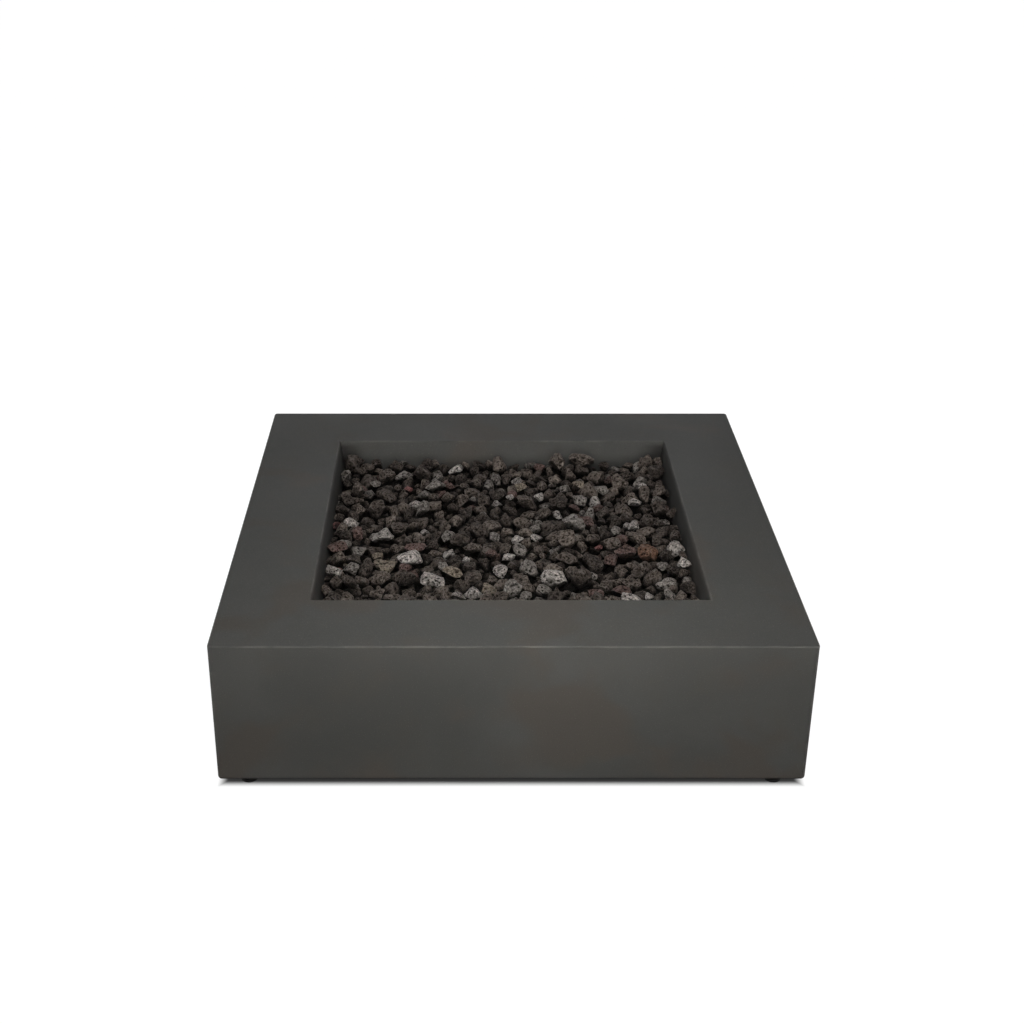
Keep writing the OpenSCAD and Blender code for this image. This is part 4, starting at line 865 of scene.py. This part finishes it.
def stone_piece(name, stones, shapes, maker, crown):
    """One mesh of all these stones, made by the tree from a cloud of points."""
    mesh = bpy.data.meshes.new(name)
    mesh.from_pydata([s["place"] for s in stones], [], [])
    kinds = {"turn": "FLOAT_VECTOR", "length": "FLOAT", "shape": "INT", "tint": "FLOAT_COLOR",
             "pits": "FLOAT", "shift": "FLOAT_VECTOR"}
    fields = {"FLOAT_VECTOR": "vector", "FLOAT_COLOR": "color"}
    for key, data_type in kinds.items():
        values = np.array([s[key] for s in stones]).ravel()
        attribute = mesh.attributes.new(key, data_type, "POINT")
        attribute.data.foreach_set(fields.get(data_type, "value"), values)
    made = maker.make(name, mesh, {"Stone shapes": shapes, "Finish": finishes["lava_rock"]})
    points = np.empty(3 * len(made.vertices))
    made.vertices.foreach_get("co", points)
    points = points.reshape(-1, 3)
    cells = np.clip(((points[:, :2] + WELL_HALF) / BED_CELL).astype(int), 0, len(crown) - 1)
    # Mask of the painted shade: depth below the bed's evened crown, deeper towards the side walls.
    sides = np.clip((np.abs(points[:, 0]) - BED_REACH) / SIDE_FADE + 0.5, 0.0, 1.0)
    depth = made.attributes.new("depth", "FLOAT", "POINT")
    depth.data.foreach_set("value", crown[cells[:, 0], cells[:, 1]] - points[:, 2] + SIDE_SHADE * sides)
    piece(name, made, "table", "lava_rock", "lava_rocks_top", "lava_rocks_lower")


def shape_collection(name, shapes, count):
    """The stone shapes as mesh objects in a collection of their own, outside the scene."""
    held = bpy.data.collections.new(name)
    for index, (points, faces) in enumerate(shapes):
        made = bpy.data.objects.new(f"{name}_{index:02d}", thinned("shape", points, faces, count))
        held.objects.link(made)
    return held


# The fill in order: zone, mean height to reach, and the stones' middle length, spread, least and greatest.
# The stones that stand out go in between, by their lengths in millimetres.
BED_STEPS = [
    ("middle", BED_BASE_LEVEL, 0.040, 0.18, 0.028, 0.060),
    ("edge", BED_LEVEL - 0.020, 0.036, 0.2, 0.024, 0.050),
    ("middle", BED_LEVEL - 0.019, 0.038, 0.2, 0.026, 0.056),
    ("accents", 56, 99),
    ("middle", BED_LEVEL - 0.012, 0.040, 0.2, 0.028, 0.058),
    ("accents", 40, 56),
    ("edge", BED_EDGE_LEVEL - 0.006, 0.034, 0.2, 0.022, 0.048),
    ("middle", BED_LEVEL - 0.006, 0.039, 0.22, 0.026, 0.058),
    ("accents", 0, 40),
    ("edge", BED_EDGE_LEVEL, 0.037, 0.28, 0.022, 0.054),
    ("sides", BED_SIDE_LEVEL, 0.032, 0.25, 0.02, 0.044),
    ("middle", BED_LEVEL, 0.039, 0.32, 0.02, 0.064),
]


def lava_bed():
    """Fills the well with lava rock and makes its pieces."""
    shapes = [stone_shape(SHAPE_SEED + k) for k in range(SHAPE_COUNT)]
    bed = Bed(shapes)
    for zone, *sizes in BED_STEPS:
        if zone == "accents":
            bed.show(*sizes)
        else:
            bed.fill(getattr(bed, zone), *sizes)
    for _ in range(BED_CHIPS):
        bed.drop("basalt", bed.dice.uniform(*CHIP_LENGTHS), bed.middle)
    seen = bed.seen()
    maker = stone_maker()
    fine = shape_collection("stone_fine", shapes, SHAPE_FACES)
    plain = shape_collection("stone_plain", shapes, HIDDEN_FACES)
    most = PIECE_FACES // SHAPE_FACES
    hidden = [s for s, n in zip(bed.stones, seen) if n < SEEN_CELLS]
    crown = bed.crown()
    stone_piece("lava_stones_under", hidden, plain, maker, crown)
    for kind in STONE_KINDS:
        shown = [s for s, n in zip(bed.stones, seen) if n >= SEEN_CELLS and s["kind"] == kind]
        for part, first in enumerate(range(0, len(shown), most), 1):
            stone_piece(f"lava_stones_{kind}_{part}", shown[first:first + most], fine, maker, crown)
    for held in (fine, plain):
        for made in list(held.objects):
            bpy.data.objects.remove(made)
        bpy.data.collections.remove(held)


# Stage

FLOOR_REACH = 40.0
# Painted shadow on the floor: its reach in under the table's edge, its reach beyond it, and its lightness.
SHADOW_WITHIN = 0.0205
SHADOW_BEYOND = 0.0065
SHADOW_LIGHT = 0.03
SKY_STRENGTH = 0.02
HORIZON = (0.06, 0.14)
SOFT_BOXES = {
    # name: place, aim, width, depth, spread in degrees, power, colour
    "key_box": ((0.2, -3.0, 3.2), (0.0, 0.0, 0.3), 2.4, 1.2, 180, 30.0, (1.0, 0.982, 0.94)),
    "low_box": ((0.2, -3.6, 1.1), (0.0, 0.0, 0.2), 2.0, 0.8, 180, 18.0, (1.0, 0.965, 0.90)),
    "left_box": ((-3.2, -1.5, 2.2), (0.0, 0.0, 0.3), 1.5, 1.5, 180, 26.0, (1.0, 1.0, 1.0)),
    "right_box": ((3.2, -1.5, 2.2), (0.0, 0.0, 0.3), 1.5, 1.5, 180, 16.0, (1.0, 1.0, 1.0)),
    "back_box": ((0.0, 3.4, 2.2), (0.0, 0.0, 0.3), 2.4, 1.0, 180, 33.0, (1.0, 1.0, 1.0)),
    "back_low_box": ((0.6, 2.6, 0.18), (0.0, 0.65, 0.15), 1.6, 0.3, 180, 20.0, (1.0, 1.0, 1.0)),
    "left_low_box": ((-2.6, 0.1, 0.18), (-0.65, 0.1, 0.18), 1.1, 0.3, 180, 16.0, (1.0, 0.99, 0.97)),
    "right_low_box": ((2.6, 0.1, 0.18), (0.65, 0.1, 0.18), 1.1, 0.3, 180, 18.0, (1.0, 0.99, 0.97)),
    "rim_wash": ((0.3, -2.3, 0.52), (0.3, -0.65, 0.40), 1.9, 0.12, 16, 0.28, (1.0, 0.98, 0.92)),
    "front_spot": ((0.1, -2.0, 2.0), (0.05, -0.62, 0.33), 0.5, 0.4, 60, 3.6, (1.0, 0.99, 0.93)),
}


def studio():
    """A white floor with a painted shadow under and around the table, a bright horizon and soft boxes in
    front, at the sides and behind.
    """
    mesh = bpy.data.meshes.new("floor")
    corners = [(a * FLOOR_REACH, b * FLOOR_REACH, 0) for a, b in ((-1, -1), (1, -1), (1, 1), (-1, 1))]
    mesh.from_pydata(corners, [], [(0, 1, 2, 3)])
    floor = bpy.data.objects.new("floor", mesh)
    floor.visible_diffuse = False
    floor.visible_glossy = False
    scene.collection.objects.link(floor)
    g = Graph("white_floor_painted_shadow")
    out = g.far_out()[2]
    # Painted shadow: the floor glows white except under the table and just around its edge.
    clear = g.ramp(out, TABLE_HIGH.x - SHADOW_WITHIN, TABLE_HIGH.x + SHADOW_BEYOND, SHADOW_LIGHT, 1.0)
    g.set(Base_Color=(0.05, 0.05, 0.05, 1.0), Roughness=0.9, Specular_IOR_Level=0.1,
          Emission_Color=(1.0, 1.0, 1.0, 1.0), Emission_Strength=clear)
    mesh.materials.append(g.material)

    world = bpy.data.worlds.new("studio")
    scene.world = world
    world.use_nodes = True
    tree = world.node_tree
    sky = tree.nodes["Background"]
    ray = tree.nodes.new("ShaderNodeTexCoord")
    split = tree.nodes.new("ShaderNodeSeparateXYZ")
    fade = tree.nodes.new("ShaderNodeMapRange")
    fade.interpolation_type = "SMOOTHSTEP"
    for key, value in zip(("From Min", "From Max", "To Min", "To Max"), (*HORIZON, 1.0, SKY_STRENGTH)):
        fade.inputs[key].default_value = value
    level = tree.nodes.new("ShaderNodeMath")
    level.operation = "ABSOLUTE"
    tree.links.new(ray.outputs["Generated"], split.inputs[0])
    tree.links.new(split.outputs["Z"], level.inputs[0])
    tree.links.new(level.outputs[0], fade.inputs["Value"])
    tree.links.new(fade.outputs["Result"], sky.inputs["Strength"])
    sky.inputs["Color"].default_value = (1.0, 1.0, 1.0, 1.0)

    for name, sizes in SOFT_BOXES.items():
        soft_box(name, *sizes)


def soft_box(name, place, aim, width, depth, spread, power, colour):
    """An area light that faces a point."""
    light = bpy.data.lights.new(name, "AREA")
    light.shape = "RECTANGLE"
    light.size = width
    light.size_y = depth
    light.spread = math.radians(spread)
    light.energy = power
    light.color = colour
    made = bpy.data.objects.new(name, light)
    made.location = place
    made.rotation_euler = (Vector(aim) - Vector(place)).to_track_quat("-Z", "Y").to_euler()
    made.visible_camera = False
    scene.collection.objects.link(made)


def camera():
    """The photograph's camera, fitted to the table's corners."""
    lens = bpy.data.cameras.new("camera")
    lens.lens = CAMERA_LENS
    lens.sensor_width = CAMERA_SENSOR
    lens.shift_x = CAMERA_SHIFT
    made = bpy.data.objects.new("camera", lens)
    made.location = CAMERA_PLACE
    made.rotation_euler = (math.radians(CAMERA_TILT), 0.0, 0.0)
    scene.collection.objects.link(made)
    scene.camera = made


camera()
studio()
scene.view_settings.view_transform = "Standard"
finishes = {
    "concrete": concrete_finish(),
    "lava_rock": lava_finish(),
    "foot_rubber": moulded_finish("black_rubber", rgb(22, 22, 23), rgb(44, 42, 40), 0.7, 600.0),
    "zinc_steel": metal_finish("zinc_steel", rgb(176, 178, 180), rgb(128, 126, 116), 0.4),
    "stainless": burner_finish(),
    "pan_enamel": enamel_finish(),
    "brass": metal_finish("brass", rgb(196, 160, 88), rgb(132, 98, 52), 0.34),
    "copper": metal_finish("copper", rgb(190, 118, 82), rgb(108, 70, 52), 0.36),
    "hose_rubber": moulded_finish("hose_rubber", rgb(24, 24, 25), rgb(48, 46, 44), 0.6, 900.0),
    "porcelain": porcelain_finish(),
    "black_plastic": moulded_finish("black_plastic", rgb(26, 26, 27), rgb(50, 49, 48), 0.46, 1100.0),
    "red_plastic": moulded_finish("red_plastic", rgb(168, 32, 26), rgb(120, 36, 30), 0.32, 1500.0),
}
dress_frame()
casting()
tubes()
threads()
knob_mark()
lava_bed()
